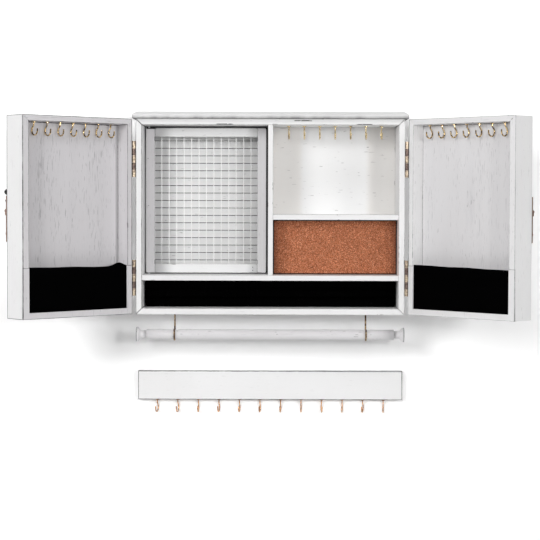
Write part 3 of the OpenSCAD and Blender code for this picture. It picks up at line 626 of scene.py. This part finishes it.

# %% [markdown]
# ## The dark gap round the mesh panel
# In the photograph a dark line runs all round the mesh panel's frame. Shade alone leaves the
# gap too pale, so strips of the boards behind it are painted near black as painted shade. Their
# mask is drawn in Object coordinates, which are real places here.

# %% Painted shade in the gap round the mesh panel
mesh_low, mesh_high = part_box("mesh_stiles")
divider_low, divider_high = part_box("divider")
shelf_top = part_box("lower_shelf")[1].z
back_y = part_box("back_panel")[0].y
GAP_SHADE_LEFT, GAP_SHADE_RIGHT = mesh_low.x - 0.0012, mesh_high.x - 0.0034
GAP_SHADE_FOOT, GAP_SHADE_TOP = mesh_low.z - 0.0005, mesh_high.z - 0.0010
BAND_END = mesh_high.y + 0.020
LEFT_BAND_DEEPER = 0.013
SKIN = 0.0002
BACK_SKIN = 0.0008


def divider_edge_shade(f, x, y, z):
    # The divider's front edge is painted black on the side of the mesh panel, as shade in the gap
    return f.times(f.under(f.apart(x, divider_low.x), 0.0008), f.under(y, divider_low.y + 0.001),
                   f.over(z, mesh_low.z), f.under(z, mesh_high.z + 0.003))


def painted_gap_shade(f):
    # Painted shade: the boards behind the gap round the frame are painted near black
    x, y, z = f.xyz(f.place())
    in_bay = f.times(f.under(x, divider_low.x + SKIN), f.over(x, left_high.x - SKIN),
                     f.over(z, shelf_top - SKIN))
    by_left_wall = f.under(x, GAP_SHADE_LEFT)
    gap = f.largest(by_left_wall, f.over(x, GAP_SHADE_RIGHT), f.over(z, GAP_SHADE_TOP), f.under(z, GAP_SHADE_FOOT))
    # On the walls it is a band beside and behind the frame, on the back a strip in each corner
    band_start = f.math("MULTIPLY_ADD", by_left_wall, LEFT_BAND_DEEPER, mesh_low.y)
    band = f.times(f.over(y, band_start), f.under(y, BAND_END))
    on_back = f.under(f.apart(y, back_y), BACK_SKIN)
    return f.largest(f.times(in_bay, gap, f.largest(band, on_back)), divider_edge_shade(f, x, y, z))


# %% [markdown]
# ## Painted shadow and scuffs under the cap
# The board under the cap is painted darker along its top, as the cap's shadow, and has three
# dark scuffs, which a fine noise tears up. The cap's own lip darkens downwards, more in some
# stretches than in others, as painted shade with some wear.

# %% Painted shadow under the cap
CAP_SHADOW_DOWN = 0.011
CAP_SHADOW = 0.20
# Left end, right end and distance below the board's top
SCUFFS = ((0.038, 0.071, 0.0034), (0.142, 0.172, 0.0097), (-0.092, -0.061, 0.0094))
SCUFF_FADE = 0.004
LIP_HEIGHT = 0.0068


def under_cap(f):
    x, y, z = f.xyz(f.place())
    # Painted shadow of the cap, darkest along the board's top
    marks = f.ramp(z, case_high.z - CAP_SHADOW_DOWN, case_high.z, 0.0, CAP_SHADOW, smooth=False)
    torn = f.ramp(f.stretched(f.place(), (190, 1, 1100), 2.0, 0.6), 0.34, 0.44)
    for left, right, down in SCUFFS:
        half = (right - left) / 2
        off_x = f.apart(x, (left + right) / 2)
        off_z = f.apart(z, case_high.z - down)
        scuff = f.times(f.ramp(off_x, half, half - SCUFF_FADE), f.ramp(off_z, 0.0012, 0.0006))
        marks = f.largest(marks, f.times(scuff, torn))
    in_front = f.under(y, front_y + 0.001)
    return f.largest(painted_gap_shade(f), f.times(marks, in_front))


def cap_lip(f):
    # Painted shade with some wear: the lip is darker towards its lower edge
    low_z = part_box("top_cap")[0].z
    lip = f.ramp(f.xyz(f.place())[2], low_z, low_z + LIP_HEIGHT, 0.72, 0.05, smooth=False)
    stretch = f.stretched(f.place(), (38, 1, 1), 2.0, 0.6)
    return f.times(lip, f.ramp(stretch, 0.3, 0.7, 0.7, 1.15))


# %% [markdown]
# ## Marks and tones of the mesh panel's frame
# The frame has two nail holes at its foot, two spots at its left, black marks at the corners of
# its opening, and a chipped upper end. Its left stile is greyer than the right one, and the
# rails are as grey as the stiles where they meet them.

# %% Marks on the mesh panel's frame
# Place from the frame's corner, and radius
NAILS = (
    (mesh_high.x - 0.0225, mesh_low.z + 0.0095, 0.0010),
    (mesh_high.x - 0.0225, mesh_low.z + 0.0041, 0.0010),
    (mesh_low.x + 0.0032, mesh_high.z - 0.0520, 0.0008),
    (mesh_low.x + 0.0042, mesh_high.z - 0.1320, 0.0008),
)
CORNER_IN_X, CORNER_IN_Z = 0.0158, 0.0185
CHIP_HEIGHT = 0.0017
CHIP_END = (0.019, 0.014)


def nail_holes(f, x, z):
    marks = 0.0
    point = f.node("CombineXYZ", X=x, Z=z)
    for at_x, at_z, radius in NAILS:
        away = f.vector("DISTANCE", point, (at_x, 0.0, at_z)).outputs["Value"]
        marks = f.largest(marks, f.ramp(away, radius, radius * 0.5))
    return marks


def frame_marks(f):
    x, y, z = f.xyz(f.place())
    middle = (mesh_low + mesh_high) / 2
    off_x = f.apart(f.apart(x, middle.x), middle.x - mesh_low.x - CORNER_IN_X)
    off_z = f.apart(f.apart(z, middle.z), middle.z - mesh_low.z - CORNER_IN_Z)
    corner = f.times(f.ramp(off_x, 0.0020, 0.0010), f.ramp(off_z, 0.0040, 0.0030))
    chip_start, chip_stop = (mesh_low.x + end for end in CHIP_END)
    chip = f.times(f.over(z, mesh_high.z - CHIP_HEIGHT), f.ramp(x, chip_start, chip_stop))
    return f.largest(nail_holes(f, x, z), corner, chip)


# %% Tones of the mesh panel's frame
def stile_tone(f):
    # Both stiles are paler at the foot
    x, y, z = f.xyz(f.place())
    tone = f.ramp(x, mesh_low.x, mesh_high.x, 0.45, 0.29, smooth=False)
    return f.minus(tone, f.ramp(z, mesh_low.z + 0.10, mesh_low.z, 0.0, 0.14))


def rail_tone(f):
    x = f.xyz(f.place())[0]
    left = f.ramp(x, mesh_low.x + 0.051, mesh_low.x + 0.023, 0.0, 0.72)
    right = f.ramp(x, mesh_high.x - 0.036, mesh_high.x - 0.020, 0.0, 0.32)
    return f.plus(f.plus(left, right), 0.09)


def rail_tint(f):
    # The grey of the rails' ends is neutral, without the lilac of the thin coat elsewhere
    return f.mix(rail_tone(f), grey(1.0), (0.935, 1.0, 0.94, 1))


stile_paint = paint("paint on the mesh stiles", edge=0.7, streaks=0.15, tone=stile_tone, stain=frame_marks)
rail_paint = paint("paint on the mesh rails", edge=0.7, tone=rail_tone, stain=frame_marks, tint=rail_tint)
print("tones for", stile_paint.name, "and", rail_paint.name)

# %% [markdown]
# ## Painted light and shade on the back panel
# The back is painted a little darker and warmer at both ends of the right compartment, as
# painted shade, and whiter behind the mesh, as painted light. The lamps alone don't give that,
# so a tint multiplies the paint's colour there.

# %% Painted light and shade on the back panel
WARM_SHADE = (0.97, 0.95, 0.925, 1)
WARM_SHADE_ENDS = (0.055, 0.042)
PAINTED_LIGHT = grey(1.08)
PAINTED_LIGHT_MIDDLE = -0.103
PAINTED_LIGHT_HALF = (0.090, 0.050)


def back_light_and_shade(f):
    x, y, z = f.xyz(f.place())
    middle, half = (divider_high.x + right_low.x) / 2, (right_low.x - divider_high.x) / 2
    end_start, end_full = (half - length for length in WARM_SHADE_ENDS)
    # Darker, warmer ends are painted shade; the whiter middle behind the mesh is painted light
    shaded_ends = f.times(f.ramp(f.apart(x, middle), end_start, end_full), f.over(x, divider_low.x),
                     f.under(y, back_y + BACK_SKIN))
    lit_behind_mesh = f.ramp(f.apart(x, PAINTED_LIGHT_MIDDLE), *PAINTED_LIGHT_HALF)
    return f.mix(shaded_ends, f.mix(lit_behind_mesh, grey(1.0), PAINTED_LIGHT), WARM_SHADE)


back_paint = paint("paint on the back panel", edge=0.4, streaks=0.03, flecks=0.45, tone=0.0,
                   stain=painted_gap_shade, tint=back_light_and_shade)
print("tints for", back_paint.name)

# %% [markdown]
# ## The case, the mesh panel's frame and the hook strip
# Each wooden node of the CAD model is now replaced by its eased copy. Only the way of the
# grain, the paint and the length of the mitred ends differ from board to board.

# %% Wood of the case
bay_paint = paint("paint around the mesh", edge=0.55, flecks=0.12, stain=painted_gap_shade)
left_paint = paint("paint on the left side", edge=0.9, line=0.0009, flecks=0.12, stain=painted_gap_shade)
ceiling_paint = paint("paint on the top board", edge=0.55, streaks=0.1, tone=0.05, stain=under_cap)
cap_paint = paint("paint on the cap", line=0.0006, tone=0.0, stain=cap_lip)
mitred = ("top_board", "bottom_board", "left_side", "right_side")
case_boards = {
    "top_cap": ("x", cap_paint), "top_board": ("x", ceiling_paint), "bottom_board": ("x", case_paint),
    "left_side": ("z", left_paint), "right_side": ("z", side_paint), "divider": ("z", bay_paint),
    "upper_shelf": ("x", case_paint), "lower_shelf": ("x", bay_paint), "hook_strip": ("x", strip_paint),
    "back_panel": ("x", back_paint), "hanging_rail": ("x", back_paint), "ring_board": ("x", back_paint),
}
for node, (along, finish) in case_boards.items():
    mitre = 0.0115 if node in mitred else 0.0
    eased_board(node, "cabinet", along, mitre=mitre).data.materials.append(finish)
for node, along, finish in (("mesh_stiles", "z", stile_paint), ("mesh_rails", "x", rail_paint)):
    eased_board(node, "mesh_panel", along).data.materials.append(finish)
print("boards of the case", len(case_boards))

# %% [markdown]
# ## Marks inside the doors
# Inside each door a dark line runs along the panel's top, as painted shadow of the top board,
# and along its hinge side; streaks gather in the panel's middle behind the pull, and the hinge
# board's outer edge is worn. The grain attribute holds places in the shut door, so the masks are
# drawn there.

# %% Marks inside the doors
LINE_DEPTH = {"left": 0.75, "right": 0.45}
PATCH_STREAKS = {"left": (0.55, 0.95), "right": (0.34, 1.9)}
PATCH_UP = 0.015
HINGE_WEAR = {"left": 0.55, "right": 0.45}
hinge_edge = {"left": left_low.x, "right": right_high.x}


def panel_marks(side):
    low, high = span(shut_points(side, f"{side}_door_panel"))
    hinge_x, free_x = (low.x, high.x) if side == "left" else (high.x, low.x)
    top_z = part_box(f"{side}_door_top")[0].z

    def marks(f):
        grain = f.attribute("grain")
        x, y, z = f.xyz(grain)
        ragged = f.times(f.stretched(grain, (500, 500, 160), 2.0, 0.6), 0.0022)
        from_hinge, from_free = f.apart(x, hinge_x), f.apart(x, free_x)
        from_top = f.minus(top_z, z)
        # Along the panel's top this dark line is painted shadow of the door's top board
        line = f.minus(ragged, f.math("MINIMUM", from_hinge, f.times(from_top, 0.6)))
        drawn = f.times(f.ramp(line, 0.0, 0.0004), LINE_DEPTH[side])
        if side == "right":
            return drawn
        # The left panel also darkens softly at its hinge side, and has a painted shadow in its free corner
        hinge_band = f.ramp(from_hinge, 0.0075, 0.0040, 0.0, 0.34)
        corner_shadow = f.times(f.ramp(from_free, 0.0080, 0.0070), f.ramp(f.apart(from_top, 0.0042), 0.0014, 0.0008))
        return f.largest(drawn, hinge_band, corner_shadow)

    return marks


def door_middle(side):
    low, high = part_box(f"{side}_door_panel")
    return shut[side] @ ((low + high) / 2)


def centre_patch(side):
    spot = door_middle(side) + Vector((0.0, 0.0, PATCH_UP))

    def patch(f):
        off = f.vector("SUBTRACT", f.attribute("grain"), spot)
        away = f.vector("LENGTH", f.vector("MULTIPLY", off, (1.0, 1.0, 0.45))).outputs["Value"]
        return f.ramp(away, 0.022, 0.004, *PATCH_STREAKS[side])

    return patch


def hinge_line(side):
    def worn(f):
        grain = f.attribute("grain")
        ragged = f.times(f.stretched(grain, (400, 400, 120), 2.0, 0.6), 0.0014)
        off = f.minus(f.apart(f.xyz(grain)[0], hinge_edge[side]), ragged)
        return f.times(f.ramp(off, 0.0015, 0.0007), HINGE_WEAR[side])

    return worn


# %% [markdown]
# ## The doors
# The doors' inner faces and rims carry a thinner, greyer coat than the outer ones. Each face
# of a door board is given one of two paints by the way it looks when the door is shut: towards
# the case and the door's own middle it is inside, elsewhere it is outside.

# %% Paints inside the doors
hinge_paint = {
    "left": paint("paint on the left hinge rim", line=0.0009, streaks=0.3, flecks=0.5, tone=0.46,
                  stain=hinge_line("left")),
    "right": paint("paint on the right hinge rim", edge=0.5, line=0.0007, streaks=0.2, flecks=0.4, tone=0.06,
                   stain=hinge_line("right")),
}
panel_paint = {
    side: paint(f"paint on the {side} inner panel", edge=0.9, line=0.0008, streaks=centre_patch(side),
                flecks=0.3, tone=tone, stain=panel_marks(side))
    for side, tone in (("left", 0.49), ("right", 0.31))
}
print("materials so far", len(bpy.data.materials))

# %% Wood of the doors
door_boards = {
    "door_top": "x", "door_bottom": "x", "door_hinge_board": "z", "door_free_board": "z",
    "door_planks": "z",
}
RIM_DEPTH = 0.012


def paint_by_side(board, side, outside, inside):
    board.data.materials.append(outside)
    board.data.materials.append(inside)
    middle, turn = door_middle(side), shut[side].to_3x3()
    for face in board.data.polygons:
        normal, place = turn @ face.normal, shut[side] @ face.center
        inward = normal.dot(Vector((middle.x - place.x, 0, middle.z - place.z)))
        faces_in = abs(normal.y) < 0.5 and inward > 0.02 and place.y > middle.y - RIM_DEPTH
        if normal.y > 0.5 or faces_in:
            face.material_index = 1


for side in ("left", "right"):
    body = f"{side}_door"
    for node, along in door_boards.items():
        board = eased_board(f"{side}_{node}", body, along, side, mitre=0.0135, joint=0.0011)
        outside = free_paint[side] if node == "door_free_board" else door_paint[side]
        inside = hinge_paint[side] if node == "door_hinge_board" else rim_paint[side]
        paint_by_side(board, side, outside, inside)
    eased_board(f"{side}_door_panel", body, "z", side).data.materials.append(panel_paint[side])
    strips = eased_board(f"{side}_strip_frame", body, "z", side, ease=0.0004)
    strips.data.materials.append(rim_paint[side])

# %% [markdown]
# ## Cork
# The cork sheet is pressed from small granules of many browns. A Voronoi pattern gives each
# granule a colour of its own, and a finer noise breaks up its edges. Both ends of the sheet are
# painted darker as shade, and a nearly black line of painted shade runs round its edge.

# %% Cork
CORK_DARK = (0.22, 0.064, 0.024, 1)
CORK_LIGHT = (0.58, 0.192, 0.084, 1)
CORK_CREVICE = (0.10, 0.030, 0.015, 1)
CORK_SHINE = (0.86, 0.40, 0.22, 1)
CORK_END_SHADE = (0.10, 0.026, 0.012, 1)
CORK_GAP_SHADE = (0.012, 0.006, 0.004, 1)


def dress(finish, *nodes):
    for node in nodes:
        mesh = frame["nodes"][node].data
        mesh.materials.clear()
        mesh.materials.append(finish)


def cork_finish():
    f = Finish("cork")
    place = f.place()
    grains = f.node("TexVoronoi", Vector=place, Scale=760.0, Randomness=1.0)
    tone = f.node("SeparateColor", i0=grains.outputs["Color"]).outputs[0]
    color = f.mix(tone, CORK_DARK, CORK_LIGHT)
    crevice = f.ramp(f.speckle(place, 860.0, 2.0, 0.6), 0.54, 0.62)
    color = f.mix(f.times(crevice, 0.7), color, CORK_CREVICE)
    shine = f.ramp(f.speckle(place, 800.0, 2.0, 0.6), 0.57, 0.63)
    color = f.mix(f.times(shine, 0.75), color, CORK_SHINE)
    half, (x, y, z) = f.from_centre("cork_panel")
    # Painted shade: darker towards both ends, and near black in a thin line round the edge
    end = f.ramp(f.minus(half.x, x), 0.013, 0.004)
    color = f.mix(f.times(end, 0.42), color, CORK_END_SHADE)
    past_edge = f.largest(f.minus(x, half.x), f.minus(z, half.z))
    color = f.mix(f.ramp(past_edge, -0.0028, -0.0016), color, CORK_GAP_SHADE)
    bump = f.node("Bump", Strength=0.5, Distance=0.0004, Height=grains.outputs["Distance"])
    return f.surface(Base_Color=color, Roughness=0.9, Normal=bump)


dress(cork_finish(), "cork_panel")
print("cork panel", [round(v, 3) for v in frame["nodes"]["cork_panel"].dimensions])

# %% [markdown]
# ## Metal
# The hooks and hinges are plated brass, bright but not new. The pulls are an aged brass with a
# pinkish brown tone, and the latch is black iron. A noise mixes each metal's bright colour with
# its dull one and roughens it there, which keeps the reflections from looking like plastic.

# %% Metal finishes
def metal(name, color, dull, rough, metallic=1.0, size=900.0, wear=0.5, patches=None):
    f = Finish(name)
    place = f.place()
    cloud = f.speckle(place, size, 3.0, 0.6)
    tone = f.mix(f.times(f.ramp(cloud, 0.45, 0.55), wear), color, dull)
    if patches:
        # Whole stretches of the piece have lost their plating
        tone = f.mix(f.ramp(f.speckle(place, patches, 1.0, 0.5), 0.46, 0.54), tone, dull)
    bump = f.node("Bump", Strength=0.15, Distance=0.0001, Height=cloud)
    return f.surface(Base_Color=tone, Metallic=metallic, Normal=bump,
                     Roughness=f.ramp(cloud, 0.2, 0.8, rough, rough + 0.18))


dress(metal("plated brass", (0.93, 0.70, 0.37, 1), (0.06, 0.032, 0.012, 1), 0.12, size=260.0, wear=0.95),
      "left_door_hooks", "right_door_hooks")
dress(metal("brighter brass", (1.0, 0.82, 0.48, 1), (0.20, 0.11, 0.05, 1), 0.20, size=200.0, wear=0.7),
      "necklace_hooks")
dress(metal("coppery brass", (0.98, 0.62, 0.38, 1), (0.16, 0.060, 0.028, 1), 0.16, size=240.0, wear=0.75),
      "strip_hooks")
dress(metal("darkened brass", (0.66, 0.48, 0.27, 1), (0.13, 0.078, 0.046, 1), 0.22, size=180.0, wear=0.7,
            patches=110.0), "rod_hooks")
dress(metal("hinge brass", (0.56, 0.46, 0.34, 1), (0.13, 0.095, 0.08, 1), 0.32, size=260.0, wear=0.7),
      "case_hinge_leaves", "hinge_pins", "case_hinge_screws")
dress(metal("browned brass", (0.20, 0.145, 0.125, 1), (0.06, 0.042, 0.04, 1), 0.38, size=260.0, wear=0.7),
      "left_door_leaves", "right_door_leaves", "left_door_screws", "right_door_screws")
dress(metal("aged brass", (0.42, 0.30, 0.25, 1), (0.22, 0.155, 0.13, 1), 0.42, wear=0.8),
      "left_pull_plate", "right_pull_plate", "left_drop_pull", "right_drop_pull")
dress(metal("zinc plate", (0.62, 0.63, 0.65, 1), (0.45, 0.46, 0.48, 1), 0.32),
      "hanger_plates", "hanger_screws", "mesh_pivot_pins")
dress(metal("black iron", (0.012, 0.012, 0.013, 1), (0.03, 0.028, 0.026, 1), 0.38, metallic=0.0),
      "latch_post", "latch_hook", "latch_stud")
print("materials so far", len(bpy.data.materials))

# %% [markdown]
# ## The mesh
# The upright wires carry the wood's white paint, the cross wires behind them are dark, and in
# the corners of the frame both are black. A wire needs no eased edges, so these pieces keep
# their CAD mesh, and one function with other colours makes both paints.

# %% Wire finishes
def wire_paint(name, color, worn, wear):
    f = Finish(name)
    half, (x, y, z) = f.from_centre("mesh_cross_wires")
    in_x = f.ramp(x, half.x - 0.0085, half.x - 0.0075)
    in_z = f.ramp(z, half.z - 0.0075, half.z - 0.0065)
    cloud = f.speckle(f.place(), 240.0, 3.0, 0.6)
    tone = f.mix(f.times(f.ramp(cloud, 0.40, 0.65), wear), color, worn)
    tone = f.mix(f.times(in_x, in_z), tone, (0.01, 0.01, 0.01, 1))
    return f.surface(Base_Color=tone, Roughness=f.ramp(cloud, 0.2, 0.8, 0.40, 0.58))


dress(wire_paint("white wire", (0.97, 0.97, 0.96, 1), (0.78, 0.77, 0.76, 1), 0.4), "mesh_upright_wires")
dress(wire_paint("grey wire", (0.012, 0.011, 0.010, 1), (0.07, 0.064, 0.06, 1), 0.7), "mesh_cross_wires")
print("materials so far", len(bpy.data.materials))

# %% [markdown]
# ## The bracelet rod
# The rod is turned from one length of wood, so its grain runs along it and its wear sits on
# the rims of its flared ends. A round piece has no boards' sides to measure from, so the first
# distance is how far a point lies inside the widest radius.

# %% Rod
FAR_OFF = 1.0


def turned_rod():
    bm = merged_copy("bracelet_rod")
    low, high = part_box("bracelet_rod")
    axis = (low + high) / 2
    widest = (high.z - low.z) / 2
    grain, from_low, from_high = paint_layers(bm)
    for v in bm.verts:
        inside = widest - math.hypot(v.co.y - axis.y, v.co.z - axis.z)
        v[grain] = (v.co.y, v.co.z, v.co.x)
        v[from_low] = (inside, FAR_OFF, v.co.x - low.x)
        v[from_high] = (inside, FAR_OFF, high.x - v.co.x)
    return dressed_wood(bm, "bracelet_rod", "bracelet_rod")


rod = turned_rod()
rod.data.materials.append(rod_paint)
print("rod", round(rod.dimensions.x, 4), "long")

# %% [markdown]
# ## Black cloth
# The ring cushion is velvet over three foam rolls, and each door has a pocket of black stretch
# cloth. Both are so dark in the photograph that only their edges read, so the cloth
# gives back almost no light.

# %% Cloth finish
def cloth_finish(name, scale):
    f = Finish(name)
    weave = f.speckle(f.place(), scale, 2.0)
    color = f.mix(f.ramp(weave, 0.3, 0.7), (0.0002, 0.0002, 0.0003, 1), (0.0010, 0.0010, 0.0011, 1))
    bump = f.node("Bump", Strength=0.4, Distance=0.0002, Height=weave)
    return f.surface(Base_Color=color, Roughness=1.0, Normal=bump, Specular_IOR_Level=0.01)


velvet = cloth_finish("black velvet", 2600.0)
stretch_cloth = cloth_finish("black stretch cloth", 1800.0)
print("cloths", velvet.name, "and", stretch_cloth.name)

# %% [markdown]
# ## The ring cushion's shape
# The cushion is foam in a velvet cover, sewn down along two grooves so that rings stand between
# its three rolls. Half circles are spun one after another to draw the rolls' outline at the
# left end, and that face is drawn out to the right in small steps, which leaves the cloth
# enough points to wrinkle.

# %% Cushion form
ROLLS = 3
LENGTH_STEPS = 120
DRAWN_IN = 0.0012
BACK_ZONE = 0.002


def cushion_outline(bm, low, high):
    left = low.x + DRAWN_IN
    roll = (high.z - low.z) / ROLLS
    axis_y = low.y + roll / 2 + DRAWN_IN
    last = bm.verts.new((left, axis_y, low.z))
    for i in range(ROLLS):
        made = bmesh.ops.spin(bm, geom=[last], cent=(left, axis_y, low.z + roll * (i + 0.5)),
                              axis=(-1, 0, 0), dvec=(0, 0, 0), angle=math.pi, steps=10)
        last = [g for g in made["geom_last"] if isinstance(g, bmesh.types.BMVert)][0]
    for z in (high.z, low.z):
        last = bmesh.ops.extrude_vert_indiv(bm, verts=[last])["verts"][0]
        last.co = (left, high.y, z)
    bmesh.ops.contextual_create(bm, geom=[v for v in bm.verts if len(v.link_edges) == 1])
    bmesh.ops.edgenet_fill(bm, edges=bm.edges[:])


def cushion_form(low, high):
    bm = bmesh.new()
    cushion_outline(bm, low, high)
    end = bm.faces[:]
    step = (high.x - low.x - 2 * DRAWN_IN) / LENGTH_STEPS
    for _ in range(LENGTH_STEPS):
        grown = bmesh.ops.extrude_face_region(bm, geom=end)["geom"]
        end = [g for g in grown if isinstance(g, bmesh.types.BMFace)]
        moved = [g for g in grown if isinstance(g, bmesh.types.BMVert)]
        bmesh.ops.translate(bm, verts=moved, vec=(step, 0, 0))
    bmesh.ops.recalc_face_normals(bm, faces=bm.faces)
    for v in bm.verts:
        # Foam is never quite even
        if v.co.y < high.y - BACK_ZONE:
            v.co.y += 0.0004 * (noise.noise(Vector((v.co.x * 40, v.co.z * 60, 0))) + 0.6)
    for face in bm.faces:
        face.smooth = True
    return bm


# %% [markdown]
# ## The velvet, blown up
# The cover is drawn a little too small, held along its grooves and its back, and then blown up
# by Blender's cloth simulation. So the velvet bulges and wrinkles where nothing holds it, as
# stuffed cloth does. The swelling is limited, and the cover stays in the CAD cushion's box.

# %% Ring cushion
SWELL_LIMIT = 0.0018
SEAM_HALF = 0.0004
LAST_FRAME = 20


def blown_up(obj, held):
    # The cloth swells over a few frames, with pressure inside and no gravity
    group = obj.vertex_groups.new(name="held")
    group.add(held, 1.0, "REPLACE")
    cloth = obj.modifiers.new("cloth", "CLOTH")
    cloth.settings.use_pressure = True
    cloth.settings.uniform_pressure_force = 4.0
    cloth.settings.vertex_group_mass = "held"
    cloth.settings.effector_weights.gravity = 0.0
    cloth.point_cache.frame_start, cloth.point_cache.frame_end = 1, LAST_FRAME
    for frame_number in range(1, LAST_FRAME + 1):
        scene.frame_set(frame_number)
    swollen = obj.evaluated_get(bpy.context.evaluated_depsgraph_get()).to_mesh()
    places = [v.co.copy() for v in swollen.vertices]
    obj.modifiers.remove(cloth)
    obj.vertex_groups.remove(group)
    scene.frame_set(1)
    return places


def swell(obj, low, high):
    seams = [low.z + (high.z - low.z) / ROLLS * i for i in range(ROLLS + 1)]
    held = [v.index for v in obj.data.vertices
            if v.co.y > high.y - BACK_ZONE or min(abs(v.co.z - seam) for seam in seams) < SEAM_HALF]
    moved = 0.0
    for v, place in zip(obj.data.vertices, blown_up(obj, held)):
        step = place - v.co
        if step.length > SWELL_LIMIT:
            step *= SWELL_LIMIT / step.length
        v.co += step
        moved = max(moved, step.length)
        v.co = [min(max(c, a), b) for c, a, b in zip(v.co, low, high)]
    print("cushion swelled by up to", round(moved * 1000, 2), "mm")


def ring_cushion():
    low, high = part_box("ring_cushion")
    obj = new_mesh_object("ring_cushion_velvet", cushion_form(low, high))
    swell(obj, low, high)
    smooth = obj.modifiers.new("smooth", "SUBSURF")
    smooth.levels = smooth.render_levels = 1
    obj.data.materials.append(velvet)
    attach(obj, "cabinet")
    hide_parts("ring_cushion")
    return obj


print("cushion points", len(ring_cushion().data.vertices))

# %% [markdown]
# ## Door pockets
# A pocket is one piece of stretch cloth, held at its sides and foot behind the strip frame and
# open along its top. It is made flat as it lies in the shut door, its free edge is waved, and
# its middle is pushed in a little where the cloth is slack. Then it is thickened and turned to
# where the door stands.

# %% The pocket's free edge
# How far the free edge was pulled up or down at its left and right end, and the bulge in it
LEAN = {"left": (-0.0018, 0.0006), "right": (-0.0018, 0.0018)}
BULGE = {"left": 0.008, "right": 0.0005}
TOP_ZONE = 0.04
NEAR = 1e-7


def edge_height(tops, x):
    # The height of the cloth's free edge, read from the CAD solid's own top edge
    before = max((t for t in tops if t[0] <= x + NEAR), default=tops[0])
    after = min((t for t in tops if t[0] >= x - NEAR), default=tops[-1])
    if after[0] - before[0] < NEAR:
        return before[1]
    part = (x - before[0]) / (after[0] - before[0])
    return before[1] + part * (after[1] - before[1])


def waved_edge(side, points, low, high):
    tops = sorted((p.x, p.z) for p in points if p.z > low.z + TOP_ZONE)
    level = high.z - BULGE[side]
    at_left, at_right = LEAN[side]

    def top(x, across):
        lean = at_left * (1 - across) + at_right * across
        return level + 0.8 * (edge_height(tops, x) - level) + lean

    return top


# %% Pockets
SLACK_DEPTH = 0.0010
RIPPLE_DEPTH = 0.0005


def flat_cloth(low, high, top):
    bm = bmesh.new()
    bmesh.ops.create_grid(bm, x_segments=96, y_segments=26, size=0.5)
    middle_y = (low.y + high.y) / 2
    for v in bm.verts:
        across, up = v.co.x + 0.5, v.co.y + 0.5
        x = low.x + across * (high.x - low.x)
        z = low.z + up * (top(x, across) - low.z)
        slack = math.sin(math.pi * across) ** 0.7 * up ** 1.5
        ripple = noise.noise(Vector((x * 30, 0.3, z * 12))) * slack
        v.co = (x, middle_y - SLACK_DEPTH * slack - RIPPLE_DEPTH * ripple, z)
    for face in bm.faces:
        face.smooth = True
    return bm


def pocket(side):
    node = f"{side}_pocket"
    points = shut_points(side, node)
    low, high = span(points)
    bm = flat_cloth(low, high, waved_edge(side, points, low, high))
    area = sum(f.calc_area() for f in bm.faces)
    bmesh.ops.recalc_face_normals(bm, faces=bm.faces)
    bmesh.ops.solidify(bm, geom=bm.faces[:], thickness=0.0008)
    bmesh.ops.transform(bm, matrix=opened[side], verts=bm.verts)
    bmesh.ops.recalc_face_normals(bm, faces=bm.faces)
    obj = new_mesh_object(f"{side}_pocket_cloth", bm)
    obj.data.materials.append(stretch_cloth)
    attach(obj, f"{side}_door")
    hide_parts(node)
    width, height = high.x - low.x, area / (high.x - low.x)
    print(side, "pocket", round(width, 4), "by", round(height, 4))


for side in ("left", "right"):
    pocket(side)
